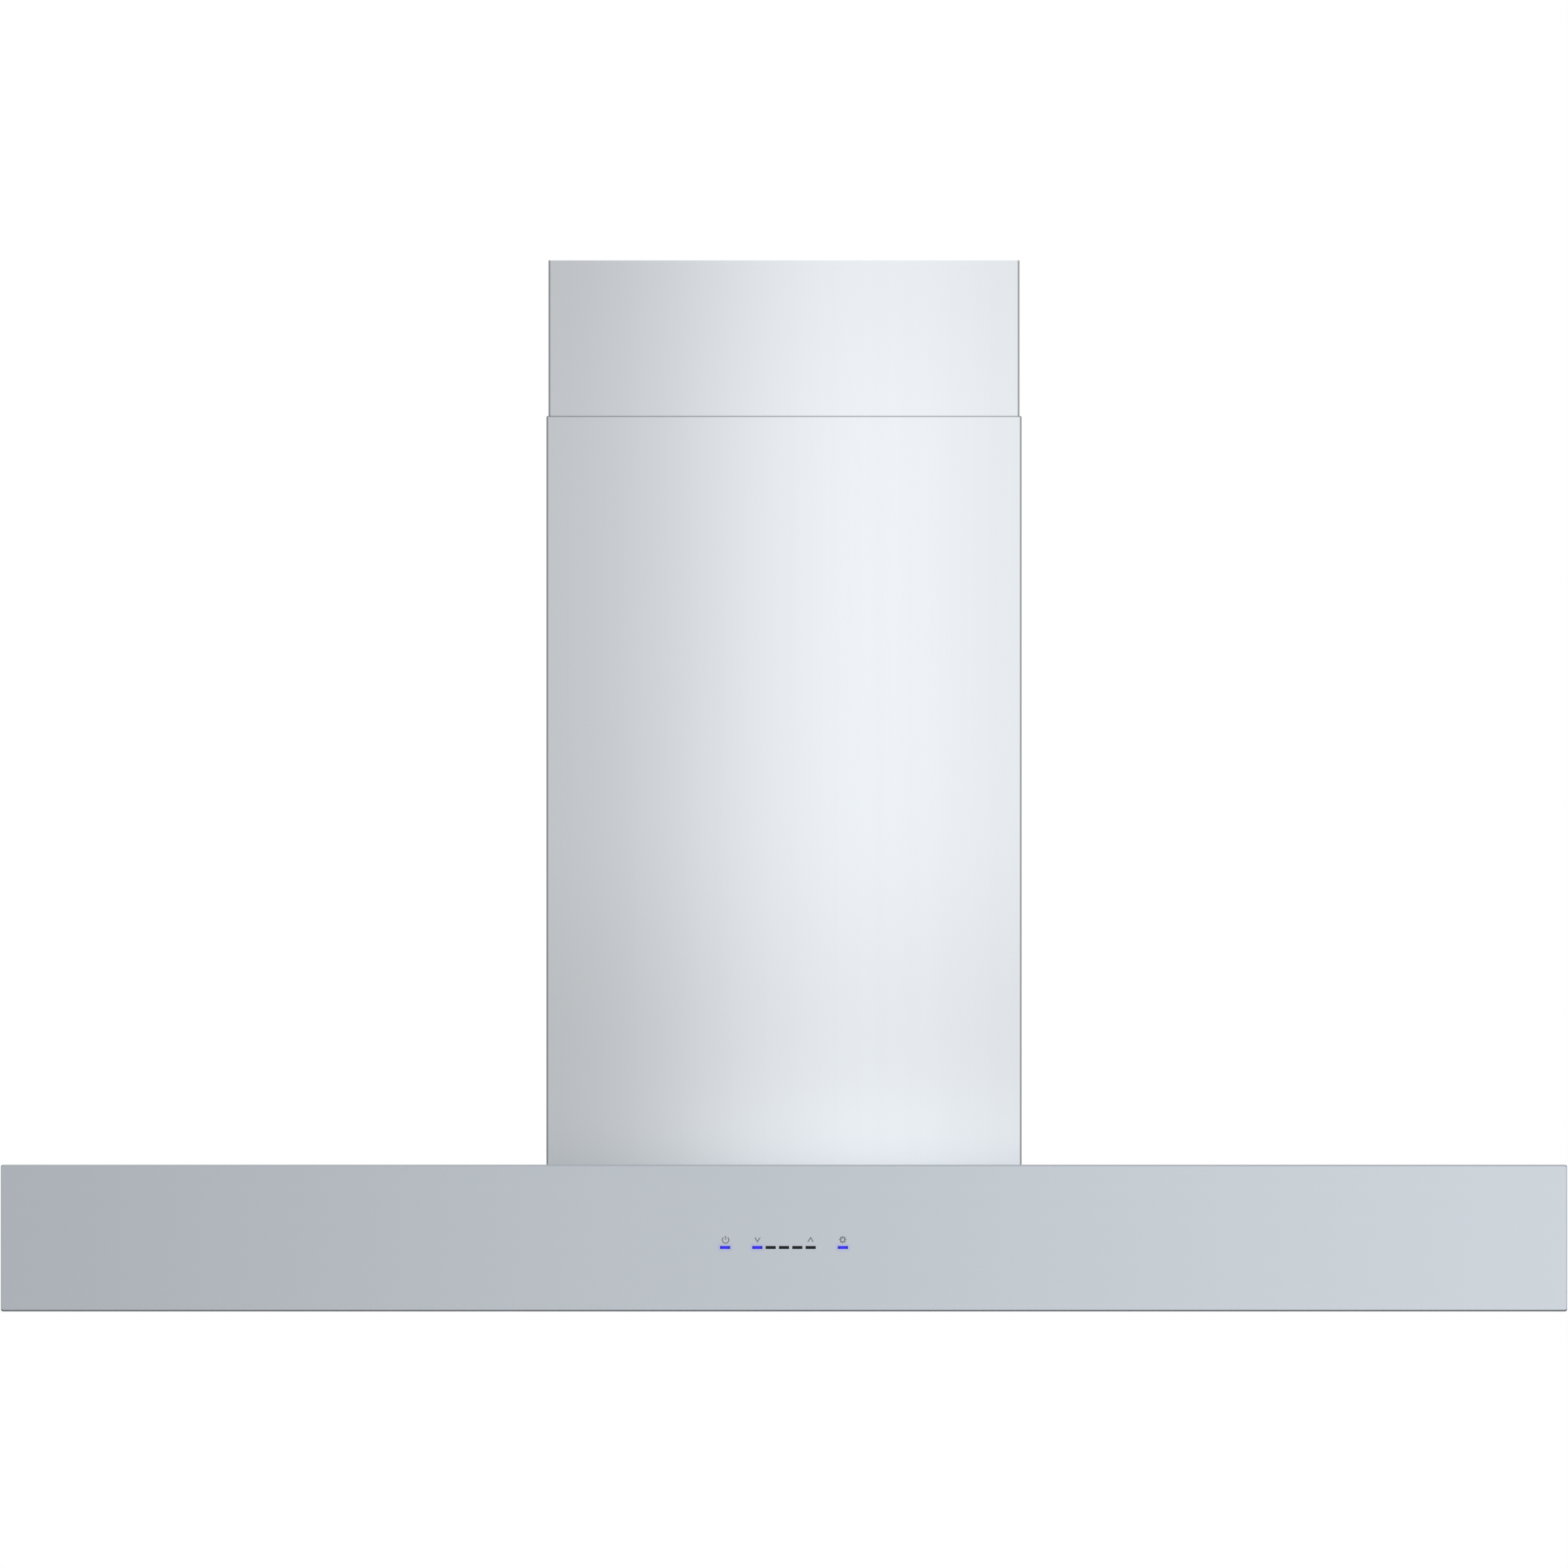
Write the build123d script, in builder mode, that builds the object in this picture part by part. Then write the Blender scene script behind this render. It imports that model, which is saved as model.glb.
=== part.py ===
from build123d import *
from math import acos, cos, degrees, radians, sin
import os

# Island range hood that hangs from a ceiling, in millimetres.
# The origin is the centre of the ceiling plate's top face: +X right, +Y rear, +Z up.
# A telescopic angle frame carries a slim box canopy with blower, filters, lamps and touch
# controls, and two nested chimney covers hide the frame and the duct.

os.makedirs("parts", exist_ok=True)

# Canopy
canopy_width = 1066.8
canopy_depth = 700.0
canopy_height = 100.0
canopy_lip = 16.0
sheet = 1.0
bend_radius = 1.6
edge_round = 0.8

# Chimney covers
cover_width = 325.0
cover_depth = 325.0
lower_cover_height = 512.0
upper_cover_show = 106.5
cover_overlap = 300.0
cover_gap = 0.45
cover_rear_gap = 2.2
cover_flange = 24.0
panel_fit = 1.0
seam_screw_rows = 3
seam_screw_inset = 40.0

# Travel of the hood on its frame
raise_travel = 85.0
lower_travel = 270.0

# Ceiling plate
plate_thickness = 2.5
plate_gap = 0.3
plate_flange_drop = 30.0
duct_opening = 216.0
duct_opening_radius = 24.0
ceiling_bolt_x = 264.0
ceiling_bolt_y = 150.0
ceiling_bolt_radius = 4.5
fixing_spacing = 120.0
fixing_margin = 30.0
fixing_drop = 13.0
fixing_clearance = 0.1
notch_clearance = 0.3

# Telescopic frame
post_wall = 2.0
upper_leg = 30.0
lower_leg = 26.0
slide_gap = 0.3
post_side_gap = 6.0
post_end_gap = 9.5
post_top_clear = 25.0
clamp_inset = 20.0
clamp_pitch = 30.0
clamp_from_corner = 17.0
slot_clearance = 0.3
slot_end = 5.0
slot_margin = 16.0
brace_thickness = 1.5
brace_height = 24.0
brace_lift = 4.0

# Fasteners
screw_radius = 1.6
screw_head_radius = 3.2
screw_head_height = 1.4
bolt_radius = 3.0
bolt_head_radius = 5.6
bolt_head_height = 4.0
nut_height = 4.6
screw_point = 3.0
hole_clearance = 0.1

# Blower
wheel_width = 132.0
wheel_ring_width = 14.0
wheel_ring_thickness = 2.0
wheel_disc_thickness = 2.0
blade_count = 40
blade_thickness = 1.2
blade_lean = 35.0
hub_radius = 14.0
hub_length = 30.0
shaft_radius = 5.0
shaft_tail = 6.0
shaft_clearance = 0.05
wheel_side_gap = 9.0
scroll_start_gap = 12.0
scroll_step = 10.0
scroll_rise = 112.0
tongue_angle = 72.0
inlet_step = 10.0
inlet_bead = 3.0
blower_box_height = 246.0
blower_box_gap = 7.0
box_post_gap = 2.0
box_leg_gap = 2.5
box_flange = 10.0

# Motor
motor_radius = 44.0
motor_length = 88.0
motor_reach = 43.0
bearing_radius = 11.0
bearing_length = 8.0
bearing_inset = 2.0
motor_shell = 3.0
band_thickness = 2.5
band_width = 14.0
arm_count = 3
arm_width = 12.0
arm_start = 30.0
arm_thickness = 3.0
grommet_radius = 6.0
grommet_length = 8.0
grommet_from_inlet = 15.0
rotor_radius = 26.0
rotor_length = 46.0

# Outlet, duct collar and damper
adapter_flange = 14.0
adapter_plate = 2.0
adapter_rise = 60.0
duct_radius = 74.5
collar_wall = 1.2
collar_height = 45.0
damper_height = 26.5
damper_pin_radius = 1.5
damper_knuckle_radius = 2.6
damper_knuckle_length = 36.0
damper_knuckle_start = 8.0
damper_clearance = 0.05
flap_thickness = 0.8
flap_edge_gap = 1.2
flap_hinge_gap = 3.2
stop_width = 5.0
stop_thickness = 3.0
stop_gap = 0.3

# Electrics
junction_width = 92.0
junction_height = 62.0
junction_wall = 1.2
junction_gap = 2.0
knockout_radius = 11.1
control_box_width = 130.0
control_box_depth = 110.0
control_box_height = 36.0
control_box_inset = 18.0
board_thickness = 1.6
board_margin = 6.0
standoff_radius = 3.0
standoff_height = 6.0
relay_width = 19.0
relay_depth = 15.0
relay_height = 15.5
relay_pitch = 24.0
relay_columns = 4
relay_rows = 3
cable_radius = 3.0
cable_end = 2.0
supply_cable_x = -30.0
supply_cable_drop = 22.0
supply_cable_bend = 18.0
supply_clip_count = 2
control_cable_drop = 30.0
control_cable_bend = 60.0
control_clip_count = 3
clip_width = 8.0
clip_wall = 1.5
clip_clearance = 0.1

# Touch controls in the front of the canopy
indicator_width = 6.85
indicator_height = 2.0
indicator_pitch = 9.07
indicator_count = 5
indicator_fit = 0.05
outer_indicator = 40.1
indicator_drop = 56.4
guide_depth = 2.0
guide_margin = 6.0
touch_board_rise = 34.0
touch_board_drop = 12.0
touch_board_fit = 0.3
carrier_wall = 2.0
carrier_depth = 14.0
carrier_pillar = 3.0
carrier_pillar_inset = 7.0

# Underside panel and lamps
filter_bar = 9.0
filter_end_margin = 144.9
filter_front_margin = 148.5
rim_height = 5.0
lug_gap = 0.5
lug_length = 14.0
lug_rise = 5.0
lamp_inset_x = 68.4
lamp_inset_y = 140.0
lamp_radius = 28.0
lamp_flange = 6.0
lamp_flange_thickness = 0.9
lamp_height = 26.0
lamp_wall = 2.0
lamp_fit = 0.3
lamp_tab_width = 10.0
lamp_tab_reach = 3.0
lamp_tab_height = 5.0
lens_thickness = 3.0
lens_recess = 0.3
lens_ledge = 3.0
lens_fit = 0.1
panel_screw_columns = 4

# Baffle filters
filter_height = 22.0
filter_gap = 1.5
filter_side_flange = 14.0
filter_top_flange = 10.0
pivot_inset = 9.0
pivot_radius = 2.5
pivot_clearance = 0.1
baffle_count = 6
baffle_slot = 10.0
baffle_overlap = 6.0
baffle_depth = 12.0
baffle_seat = 6.0
baffle_clear = 2.5
baffle_wall = 0.8

# Filter latches
latch_travel = 9.5
latch_reach = 8.0
latch_thickness = 2.0
latch_width = 60.0
latch_tail = 4.0
latch_clearance = 0.3
latch_rim_gap = 0.4
tongue_width = 40.0
pull_width = 36.0
pull_thickness = 2.0
pull_recess = 0.3
finger_slot_edge = 4.0
finger_room = 12.0
latch_guide_cover = 6.0
latch_guide_wall = 3.0
latch_guide_lip = 1.5

# Levels
ceiling = 0.0
lower_cover_top = ceiling - upper_cover_show
upper_cover_bottom = lower_cover_top - cover_overlap
canopy_top = lower_cover_top - lower_cover_height
canopy_bottom = canopy_top - canopy_height
canopy_roof = canopy_top - sheet
panel_floor = canopy_bottom + sheet

# Clear room inside the upper cover, which every frame piece keeps to
upper_width = cover_width - 2 * (sheet + cover_gap)
upper_front = -cover_depth / 2 + sheet + cover_gap
upper_rear = cover_depth / 2 - 2 * sheet - cover_rear_gap
inner_half_width = upper_width / 2 - sheet
inner_front = upper_front + sheet
inner_rear = upper_rear - 2 * sheet

# Frame posts
post_x = inner_half_width - post_side_gap
post_y = inner_rear - post_end_gap
lower_post_x = post_x - post_wall - slide_gap
lower_post_y = post_y - post_wall - slide_gap
upper_post_top = ceiling - plate_thickness
lower_post_top = upper_post_top - raise_travel - post_top_clear
clamp_levels = [lower_post_top - clamp_inset, lower_post_top - clamp_inset - clamp_pitch]
slot_top = clamp_levels[0] + raise_travel + slot_end
slot_bottom = clamp_levels[-1] - lower_travel - slot_end
upper_post_bottom = slot_bottom - slot_margin
corners = {
    "front_left": (-1, -1),
    "front_right": (1, -1),
    "rear_left": (-1, 1),
    "rear_right": (1, 1),
}

# Blower: as large as the posts leave room for. Three arcs of growing radius wrap the wheel
# and end in an upright outlet.
blower_box_depth = 2 * (lower_post_y - lower_leg - box_leg_gap)
blower_box_width = 2 * (lower_post_x - post_wall - box_post_gap)
scroll_depth = blower_box_depth - 4 * sheet - 2 * blower_box_gap
scroll_radius = (scroll_depth - 3 * scroll_step) / 2
scroll_width = wheel_width + 2 * wheel_side_gap
wheel_radius = scroll_radius - scroll_start_gap
inlet_radius = wheel_radius - inlet_step
scroll_rear = scroll_step / 2 + scroll_radius + 2 * scroll_step
scroll_front = -scroll_step / 2 - scroll_radius
tongue_y = -scroll_step / 2 + scroll_radius * cos(radians(tongue_angle))
blower_box_top = canopy_top + blower_box_height
wheel_y = -(scroll_rear + scroll_front) / 2
wheel_z = blower_box_top - sheet - scroll_rise
outlet_depth = scroll_rear - tongue_y
outlet_y = wheel_y + (scroll_rear + tongue_y) / 2
adapter_base = blower_box_top + adapter_plate
collar_base = adapter_base + adapter_rise
damper_z = collar_base + damper_height
motor_inner_end = -wheel_width / 2 + motor_reach - sheet
motor_outer_end = motor_inner_end - motor_length
motor_plane = -scroll_width / 2 - sheet - grommet_length

# Filters hang side by side, each on a pair of pins along its rear edge
filter_names = ["left", "centre", "right"]
filter_row = canopy_width - 2 * filter_end_margin
filter_pitch = (filter_row + filter_bar) / len(filter_names)
filter_width = filter_pitch - filter_bar - 2 * filter_gap
filter_depth = canopy_depth - 2 * (filter_front_margin + filter_gap)
filter_places = [
    (i - (len(filter_names) - 1) / 2) * filter_pitch for i in range(len(filter_names))
]
filter_front = -filter_depth / 2
filter_rear = filter_depth / 2
pivot_y = filter_rear - pivot_inset
pivot_z = panel_floor + pivot_inset
lug_thickness = filter_bar / 2 - sheet - lug_gap
latch_z = panel_floor + rim_height + latch_rim_gap

# Lamps and controls
lamp_places = [
    (side * (canopy_width / 2 - lamp_inset_x), end * (canopy_depth / 2 - lamp_inset_y))
    for side, end in corners.values()
]
canopy_front = -canopy_depth / 2
indicator_z = canopy_top - indicator_drop
indicator_places = [
    -outer_indicator,
    *[indicator_pitch * (i - (indicator_count - 1) / 2) for i in range(indicator_count)],
    outer_indicator,
]
guide_width = 2 * outer_indicator + indicator_width + 2 * guide_margin
guide_height = indicator_height + 2 * guide_margin

# Junction box in front of the blower box, control box at the canopy's left end
junction_rear = -blower_box_depth / 2 - box_flange - junction_gap
junction_front = inner_front + junction_gap
junction_y = (junction_front + junction_rear) / 2
control_box_x = -canopy_width / 2 + sheet + control_box_inset + control_box_width / 2
control_box_right = control_box_x + control_box_width / 2
control_box_front = junction_y - control_box_depth / 2
control_box_bottom = canopy_roof - control_box_height

centred_up = (Align.CENTER, Align.CENTER, Align.MIN)
centred_down = (Align.CENTER, Align.CENTER, Align.MAX)


def save(piece, name):
    """Names a finished piece and writes it as its own file."""
    piece.part.label = name
    export_step(piece.part, f"parts/{name}.step")


def front_plane(x, y, z):
    """Plane that faces the front, with its own x to the right and its own y up."""
    return Plane(origin=(x, y, z), x_dir=(1, 0, 0), z_dir=(0, -1, 0))


def screws(seats, length):
    """Socket screws whose heads sit on each plane and whose shanks run back through it."""
    with BuildPart() as group:
        with Locations(*seats):
            Cylinder(screw_head_radius, screw_head_height, align=centred_up)
            Cylinder(screw_radius, length, align=centred_down)
        with BuildSketch(*[seat.offset(screw_head_height) for seat in seats]):
            RegularPolygon(screw_head_radius / 2, 6)
        extrude(amount=-screw_head_height / 2, mode=Mode.SUBTRACT)
    return group


def hex_bolts(seats, length):
    """Hexagon bolts whose heads sit on each plane and whose shanks run back through it."""
    with BuildPart() as group:
        with BuildSketch(*seats):
            RegularPolygon(bolt_head_radius, 6)
        extrude(amount=bolt_head_height)
        with Locations(*seats):
            Cylinder(bolt_radius, length, align=centred_down)
    return group


def bolts_and_nuts(seats, grip):
    """Hexagon bolts with a nut on the far side of what they grip."""
    bolts = hex_bolts(seats, grip + nut_height)
    with BuildPart() as group:
        add(bolts.part)
        with BuildSketch(*[seat.offset(-grip) for seat in seats]):
            RegularPolygon(bolt_head_radius, 6)
            Circle(bolt_radius + hole_clearance, mode=Mode.SUBTRACT)
        extrude(amount=-nut_height)
    return group


# Ceiling plate
plate_half_width = inner_half_width - plate_gap
plate_front = inner_front + plate_gap
plate_rear = inner_rear - plate_gap
plate_middle = (plate_front + plate_rear) / 2
foot_places = [
    (side * (post_x - upper_leg / 2), end * (post_y - upper_leg / 2))
    for side, end in corners.values()
]
fixing_places = [-fixing_spacing / 2, fixing_spacing / 2]
with BuildPart() as ceiling_plate:
    with BuildSketch(Plane.XY.offset(upper_post_top)):
        with Locations((0, plate_middle)):
            Rectangle(2 * plate_half_width, plate_rear - plate_front)
        RectangleRounded(duct_opening, duct_opening, duct_opening_radius, mode=Mode.SUBTRACT)
        with GridLocations(ceiling_bolt_x, ceiling_bolt_y, 2, 2):
            Circle(ceiling_bolt_radius, mode=Mode.SUBTRACT)
        with Locations(*foot_places):
            Circle(bolt_radius + hole_clearance, mode=Mode.SUBTRACT)
    extrude(amount=plate_thickness)
    with BuildSketch(Plane.XY.offset(upper_post_top)):
        with Locations(*[
            (side * (plate_half_width - plate_thickness / 2), plate_middle) for side in (-1, 1)
        ]):
            Rectangle(plate_thickness, plate_rear - plate_front)
        with Locations((0, plate_rear - plate_thickness / 2)):
            Rectangle(fixing_spacing + 2 * fixing_margin, plate_thickness)
    extrude(amount=-plate_flange_drop)
    with Locations(*[
        Plane(origin=(x, plate_rear, ceiling - fixing_drop), z_dir=(0, 1, 0))
        for x in fixing_places
    ]):
        Cylinder(screw_radius + hole_clearance, 4 * plate_thickness, mode=Mode.SUBTRACT)
save(ceiling_plate, "ceiling_plate")

# Screws through the upper cover's rear panel hold it to the plate's rear flange.
fixing_seats = [
    Plane(
        origin=(x, upper_rear - sheet + fixing_clearance, ceiling - fixing_drop),
        z_dir=(0, 1, 0),
    )
    for x in fixing_places
]
fixing_length = fixing_clearance + sheet + plate_gap + plate_thickness
save(screws(fixing_seats, fixing_length), "cover_fixing_screws")


# Telescopic frame
def angle_post(side, end, outer_x, outer_y, leg, bottom, top):
    """Angle section standing in one corner, its legs along the side and the end."""
    with BuildPart() as post:
        with BuildSketch(Plane.XY.offset(bottom)):
            with Locations((side * (outer_x - leg / 2), end * (outer_y - leg / 2))):
                Rectangle(leg, leg)
            with Locations((
                side * (outer_x - post_wall - leg / 2),
                end * (outer_y - post_wall - leg / 2),
            )):
                Rectangle(leg, leg, mode=Mode.SUBTRACT)
        extrude(amount=top - bottom)
    return post


def upper_post(side, end):
    """Post under the ceiling plate, with a foot for its bolt and a long slot to clamp through."""
    angle = angle_post(side, end, post_x, post_y, upper_leg, upper_post_bottom, upper_post_top)
    slot_face = Plane(
        origin=(side * (post_x - clamp_from_corner), end * post_y, (slot_top + slot_bottom) / 2),
        x_dir=(0, 0, 1),
        z_dir=(0, end, 0),
    )
    foot = (side * (post_x - upper_leg / 2), end * (post_y - upper_leg / 2))
    with BuildPart() as post:
        add(angle.part)
        with BuildSketch(Plane.XY.offset(upper_post_top)):
            with Locations(foot):
                Rectangle(upper_leg, upper_leg)
                Circle(bolt_radius + hole_clearance, mode=Mode.SUBTRACT)
        extrude(amount=-post_wall)
        with BuildSketch(slot_face):
            SlotOverall(slot_top - slot_bottom, 2 * (bolt_radius + slot_clearance))
        extrude(amount=post_wall, both=True, mode=Mode.SUBTRACT)
    return post


def lower_post(side, end):
    """Post on the canopy, nested in an upper post and clamped to it near its top."""
    angle = angle_post(
        side, end, lower_post_x, lower_post_y, lower_leg, canopy_top, lower_post_top
    )
    foot = (side * (lower_post_x - lower_leg / 2), end * (lower_post_y - lower_leg / 2))
    with BuildPart() as post:
        add(angle.part)
        with BuildSketch(Plane.XY.offset(canopy_top)):
            with Locations(foot):
                Rectangle(lower_leg, lower_leg)
                Circle(bolt_radius + hole_clearance, mode=Mode.SUBTRACT)
        extrude(amount=post_wall)
        with Locations(*[
            Plane(
                origin=(side * (post_x - clamp_from_corner), end * lower_post_y, level),
                z_dir=(0, end, 0),
            )
            for level in clamp_levels
        ]):
            Cylinder(bolt_radius + hole_clearance, 4 * post_wall, mode=Mode.SUBTRACT)
    return post


for corner, (side, end) in corners.items():
    save(upper_post(side, end), f"upper_post_{corner}")
    save(lower_post(side, end), f"lower_post_{corner}")

upper_foot_seats = [
    Plane(origin=(x, y, upper_post_top - post_wall), z_dir=(0, 0, -1)) for x, y in foot_places
]
save(hex_bolts(upper_foot_seats, post_wall + plate_thickness), "upper_post_bolts")

lower_foot_places = [
    (side * (lower_post_x - lower_leg / 2), end * (lower_post_y - lower_leg / 2))
    for side, end in corners.values()
]
lower_foot_seats = [
    Plane(origin=(x, y, canopy_top + post_wall), z_dir=(0, 0, 1)) for x, y in lower_foot_places
]
save(bolts_and_nuts(lower_foot_seats, post_wall + sheet), "lower_post_bolts")

clamp_seats = [
    Plane(
        origin=(
            side * (post_x - clamp_from_corner),
            end * (lower_post_y - post_wall),
            level,
        ),
        z_dir=(0, -end, 0),
    )
    for side, end in corners.values()
    for level in clamp_levels
]
# The nuts bear on a washer's gap outside the slotted posts, so that the frame can slide.
save(bolts_and_nuts(clamp_seats, 2 * post_wall + 2 * slide_gap), "post_clamp_bolts")

with BuildPart() as upper_braces:
    with BuildSketch(Plane.XY.offset(upper_post_bottom + brace_lift)):
        with Locations(*[(side * (post_x + brace_thickness / 2), 0) for side in (-1, 1)]):
            Rectangle(brace_thickness, 2 * post_y)
    extrude(amount=brace_height)
save(upper_braces, "upper_braces")


# Chimney covers
def seam_seats(width, rear, bottom, height):
    """Planes of the seam screws along both rear flanges of a cover."""
    first, last = bottom + seam_screw_inset, bottom + height - seam_screw_inset
    levels = [first + (last - first) * i / (seam_screw_rows - 1) for i in range(seam_screw_rows)]
    reach = width / 2 - cover_flange / 2
    return [
        Plane(origin=(side * reach, rear, level), z_dir=(0, 1, 0))
        for side in (-1, 1)
        for level in levels
    ]


def cover_wrap(width, front, rear, bottom, height):
    """Front and sides of a cover in one folded sheet, with flanges turned in along the rear."""
    with BuildPart() as wrap:
        with BuildSketch(Plane.XY.offset(bottom)):
            with Locations((0, (front + rear) / 2)):
                RectangleRounded(width, rear - front, bend_radius)
                Rectangle(width - 2 * sheet, rear - front - 2 * sheet, mode=Mode.SUBTRACT)
            with Locations((0, rear)):
                Rectangle(width - 2 * cover_flange, 4 * sheet, mode=Mode.SUBTRACT)
        extrude(amount=height)
        with Locations(*seam_seats(width, rear, bottom, height)):
            Cylinder(screw_radius + hole_clearance, 4 * sheet, mode=Mode.SUBTRACT)
    return wrap


def cover_rear_panel(width, rear, bottom, height):
    """Flat panel that closes a cover from behind, against the inside of its flanges."""
    with BuildPart() as panel:
        with BuildSketch(Plane.XY.offset(bottom)):
            with Locations((0, rear - 1.5 * sheet)):
                Rectangle(width - 2 * (sheet + panel_fit), sheet)
        extrude(amount=height)
        with Locations(*seam_seats(width, rear, bottom, height)):
            Cylinder(screw_radius + hole_clearance, 6 * sheet, mode=Mode.SUBTRACT)
    return panel


lower_cover = (cover_width, -cover_depth / 2, cover_depth / 2, canopy_top, lower_cover_height)
upper_cover_height = ceiling - upper_cover_bottom
upper_cover = (upper_width, upper_front, upper_rear, upper_cover_bottom, upper_cover_height)
wraps = {}
rear_panels = {}
for name, (width, front, rear, bottom, height) in (
    ("lower_cover", lower_cover),
    ("upper_cover", upper_cover),
):
    wraps[name] = cover_wrap(width, front, rear, bottom, height)
    rear_panels[name] = cover_rear_panel(width, rear, bottom, height)
    save(screws(seam_seats(width, rear, bottom, height), 2 * sheet), f"{name}_screws")
save(wraps["upper_cover"], "upper_cover_wrap")
save(rear_panels["lower_cover"], "lower_cover_rear_panel")

with BuildPart() as lower_cover_wrap:
    add(wraps["lower_cover"].part)
    # The top edge, which the upper cover slides behind, is rounded over.
    lip = lower_cover_wrap.faces().sort_by(Axis.Z)[-1].edges()
    fillet(
        [
            edge
            for edge in lip
            if abs(edge.center().X) > (cover_width - sheet) / 2
            or edge.center().Y < (sheet - cover_depth) / 2
        ],
        edge_round,
    )
save(lower_cover_wrap, "lower_cover_wrap")

with BuildPart() as upper_cover_rear_panel:
    add(rear_panels["upper_cover"].part)
    # Open notches let the cover drop off its fixing screws once they are loosened.
    with Locations(*[
        Plane(origin=(x, upper_rear, ceiling - fixing_drop), z_dir=(0, 1, 0))
        for x in fixing_places
    ]):
        Cylinder(screw_radius + notch_clearance, 6 * sheet, mode=Mode.SUBTRACT)
    with Locations(*[(x, upper_rear, ceiling - fixing_drop) for x in fixing_places]):
        Box(
            2 * (screw_radius + notch_clearance),
            6 * sheet,
            2 * fixing_drop,
            align=centred_up,
            mode=Mode.SUBTRACT,
        )
save(upper_cover_rear_panel, "upper_cover_rear_panel")


# Canopy
box_inner_width = blower_box_width - 2 * sheet
box_inner_depth = blower_box_depth - 2 * sheet
panel_screw_y = canopy_depth / 2 - canopy_lip / 2
panel_screw_pitch = (canopy_width - 2 * canopy_lip) / panel_screw_columns
flange_screw_reach = blower_box_depth / 2 + box_flange / 2
flange_screw_pitch = blower_box_width / 2
with BuildPart() as canopy_shell:
    with Locations((0, 0, canopy_bottom)):
        Box(canopy_width, canopy_depth, canopy_height, align=centred_up)
    fillet(canopy_shell.edges(), bend_radius)
    with Locations((0, 0, panel_floor)):
        Box(
            canopy_width - 2 * sheet,
            canopy_depth - 2 * sheet,
            canopy_height - 2 * sheet,
            align=centred_up,
            mode=Mode.SUBTRACT,
        )
    with Locations((0, 0, canopy_bottom)):
        Box(
            canopy_width - 2 * canopy_lip,
            canopy_depth - 2 * canopy_lip,
            4 * sheet,
            mode=Mode.SUBTRACT,
        )
    with BuildSketch(Plane.XY.offset(canopy_top)):
        Rectangle(box_inner_width, box_inner_depth)
        with Locations(*lower_foot_places):
            Circle(bolt_radius + hole_clearance)
        with Locations((supply_cable_x, junction_y)):
            Circle(cable_radius + hole_clearance)
        with GridLocations(flange_screw_pitch, 2 * flange_screw_reach, 2, 2):
            Circle(screw_radius + hole_clearance)
    extrude(amount=-2 * sheet, mode=Mode.SUBTRACT)
    with BuildSketch(front_plane(0, canopy_front, indicator_z)):
        with Locations(*[(x, 0) for x in indicator_places]):
            Rectangle(indicator_width + 2 * indicator_fit, indicator_height + 2 * indicator_fit)
    extrude(amount=-2 * sheet, mode=Mode.SUBTRACT)
    with Locations((0, 0, canopy_bottom)):
        with GridLocations(panel_screw_pitch, 2 * panel_screw_y, panel_screw_columns, 2):
            Cone(
                screw_head_radius + hole_clearance,
                screw_radius + hole_clearance,
                sheet,
                align=centred_up,
                mode=Mode.SUBTRACT,
            )
save(canopy_shell, "canopy_shell")

# Underside panel: three rimmed filter openings with hanger lugs, and four lamp holes
opening_width = filter_width + 2 * filter_gap
opening_depth = filter_depth + 2 * filter_gap
lug_places = [
    (x + side * (opening_width / 2 + sheet + lug_thickness / 2), pivot_y)
    for x in filter_places
    for side in (-1, 1)
]
with BuildPart() as bottom_panel:
    with BuildSketch(Plane.XY.offset(panel_floor)):
        Rectangle(
            canopy_width - 2 * (sheet + panel_fit), canopy_depth - 2 * (sheet + panel_fit)
        )
        with Locations(*[(x, 0) for x in filter_places]):
            Rectangle(opening_width, opening_depth, mode=Mode.SUBTRACT)
        with Locations(*lamp_places):
            Circle(lamp_radius + lamp_fit, mode=Mode.SUBTRACT)
        with GridLocations(panel_screw_pitch, 2 * panel_screw_y, panel_screw_columns, 2):
            Circle(screw_radius + hole_clearance, mode=Mode.SUBTRACT)
    extrude(amount=sheet)
    with BuildSketch(Plane.XY.offset(panel_floor)):
        for x in filter_places:
            with Locations((x, 0)):
                Rectangle(opening_width + 2 * sheet, opening_depth + 2 * sheet)
                Rectangle(opening_width, opening_depth, mode=Mode.SUBTRACT)
    extrude(amount=rim_height)
    with BuildSketch(Plane.XY.offset(panel_floor)):
        with Locations(*lug_places):
            Rectangle(lug_thickness, lug_length)
    extrude(amount=pivot_inset + lug_rise)
    with Locations(*[
        Plane(origin=(x, y, pivot_z), x_dir=(0, 1, 0), z_dir=(1, 0, 0)) for x, y in lug_places
    ]):
        Cylinder(pivot_radius + pivot_clearance, 2 * lug_thickness, mode=Mode.SUBTRACT)
    with Locations(*[(x, y, pivot_z) for x, y in lug_places]):
        Box(
            lug_thickness + lug_gap,
            2 * (pivot_radius + pivot_clearance),
            2 * lug_rise,
            align=centred_up,
            mode=Mode.SUBTRACT,
        )
save(bottom_panel, "bottom_panel")

with BuildPart() as bottom_panel_screws:
    with Locations((0, 0, canopy_bottom)):
        with GridLocations(panel_screw_pitch, 2 * panel_screw_y, panel_screw_columns, 2):
            Cone(screw_head_radius, screw_radius, sheet, align=centred_up)
            Cylinder(screw_radius, 2 * sheet, align=centred_up)
    with Locations((0, 0, panel_floor + sheet)):
        with GridLocations(panel_screw_pitch, 2 * panel_screw_y, panel_screw_columns, 2):
            Cylinder(screw_head_radius, 2 * screw_head_height, align=centred_up)
save(bottom_panel_screws, "bottom_panel_screws")

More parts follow.
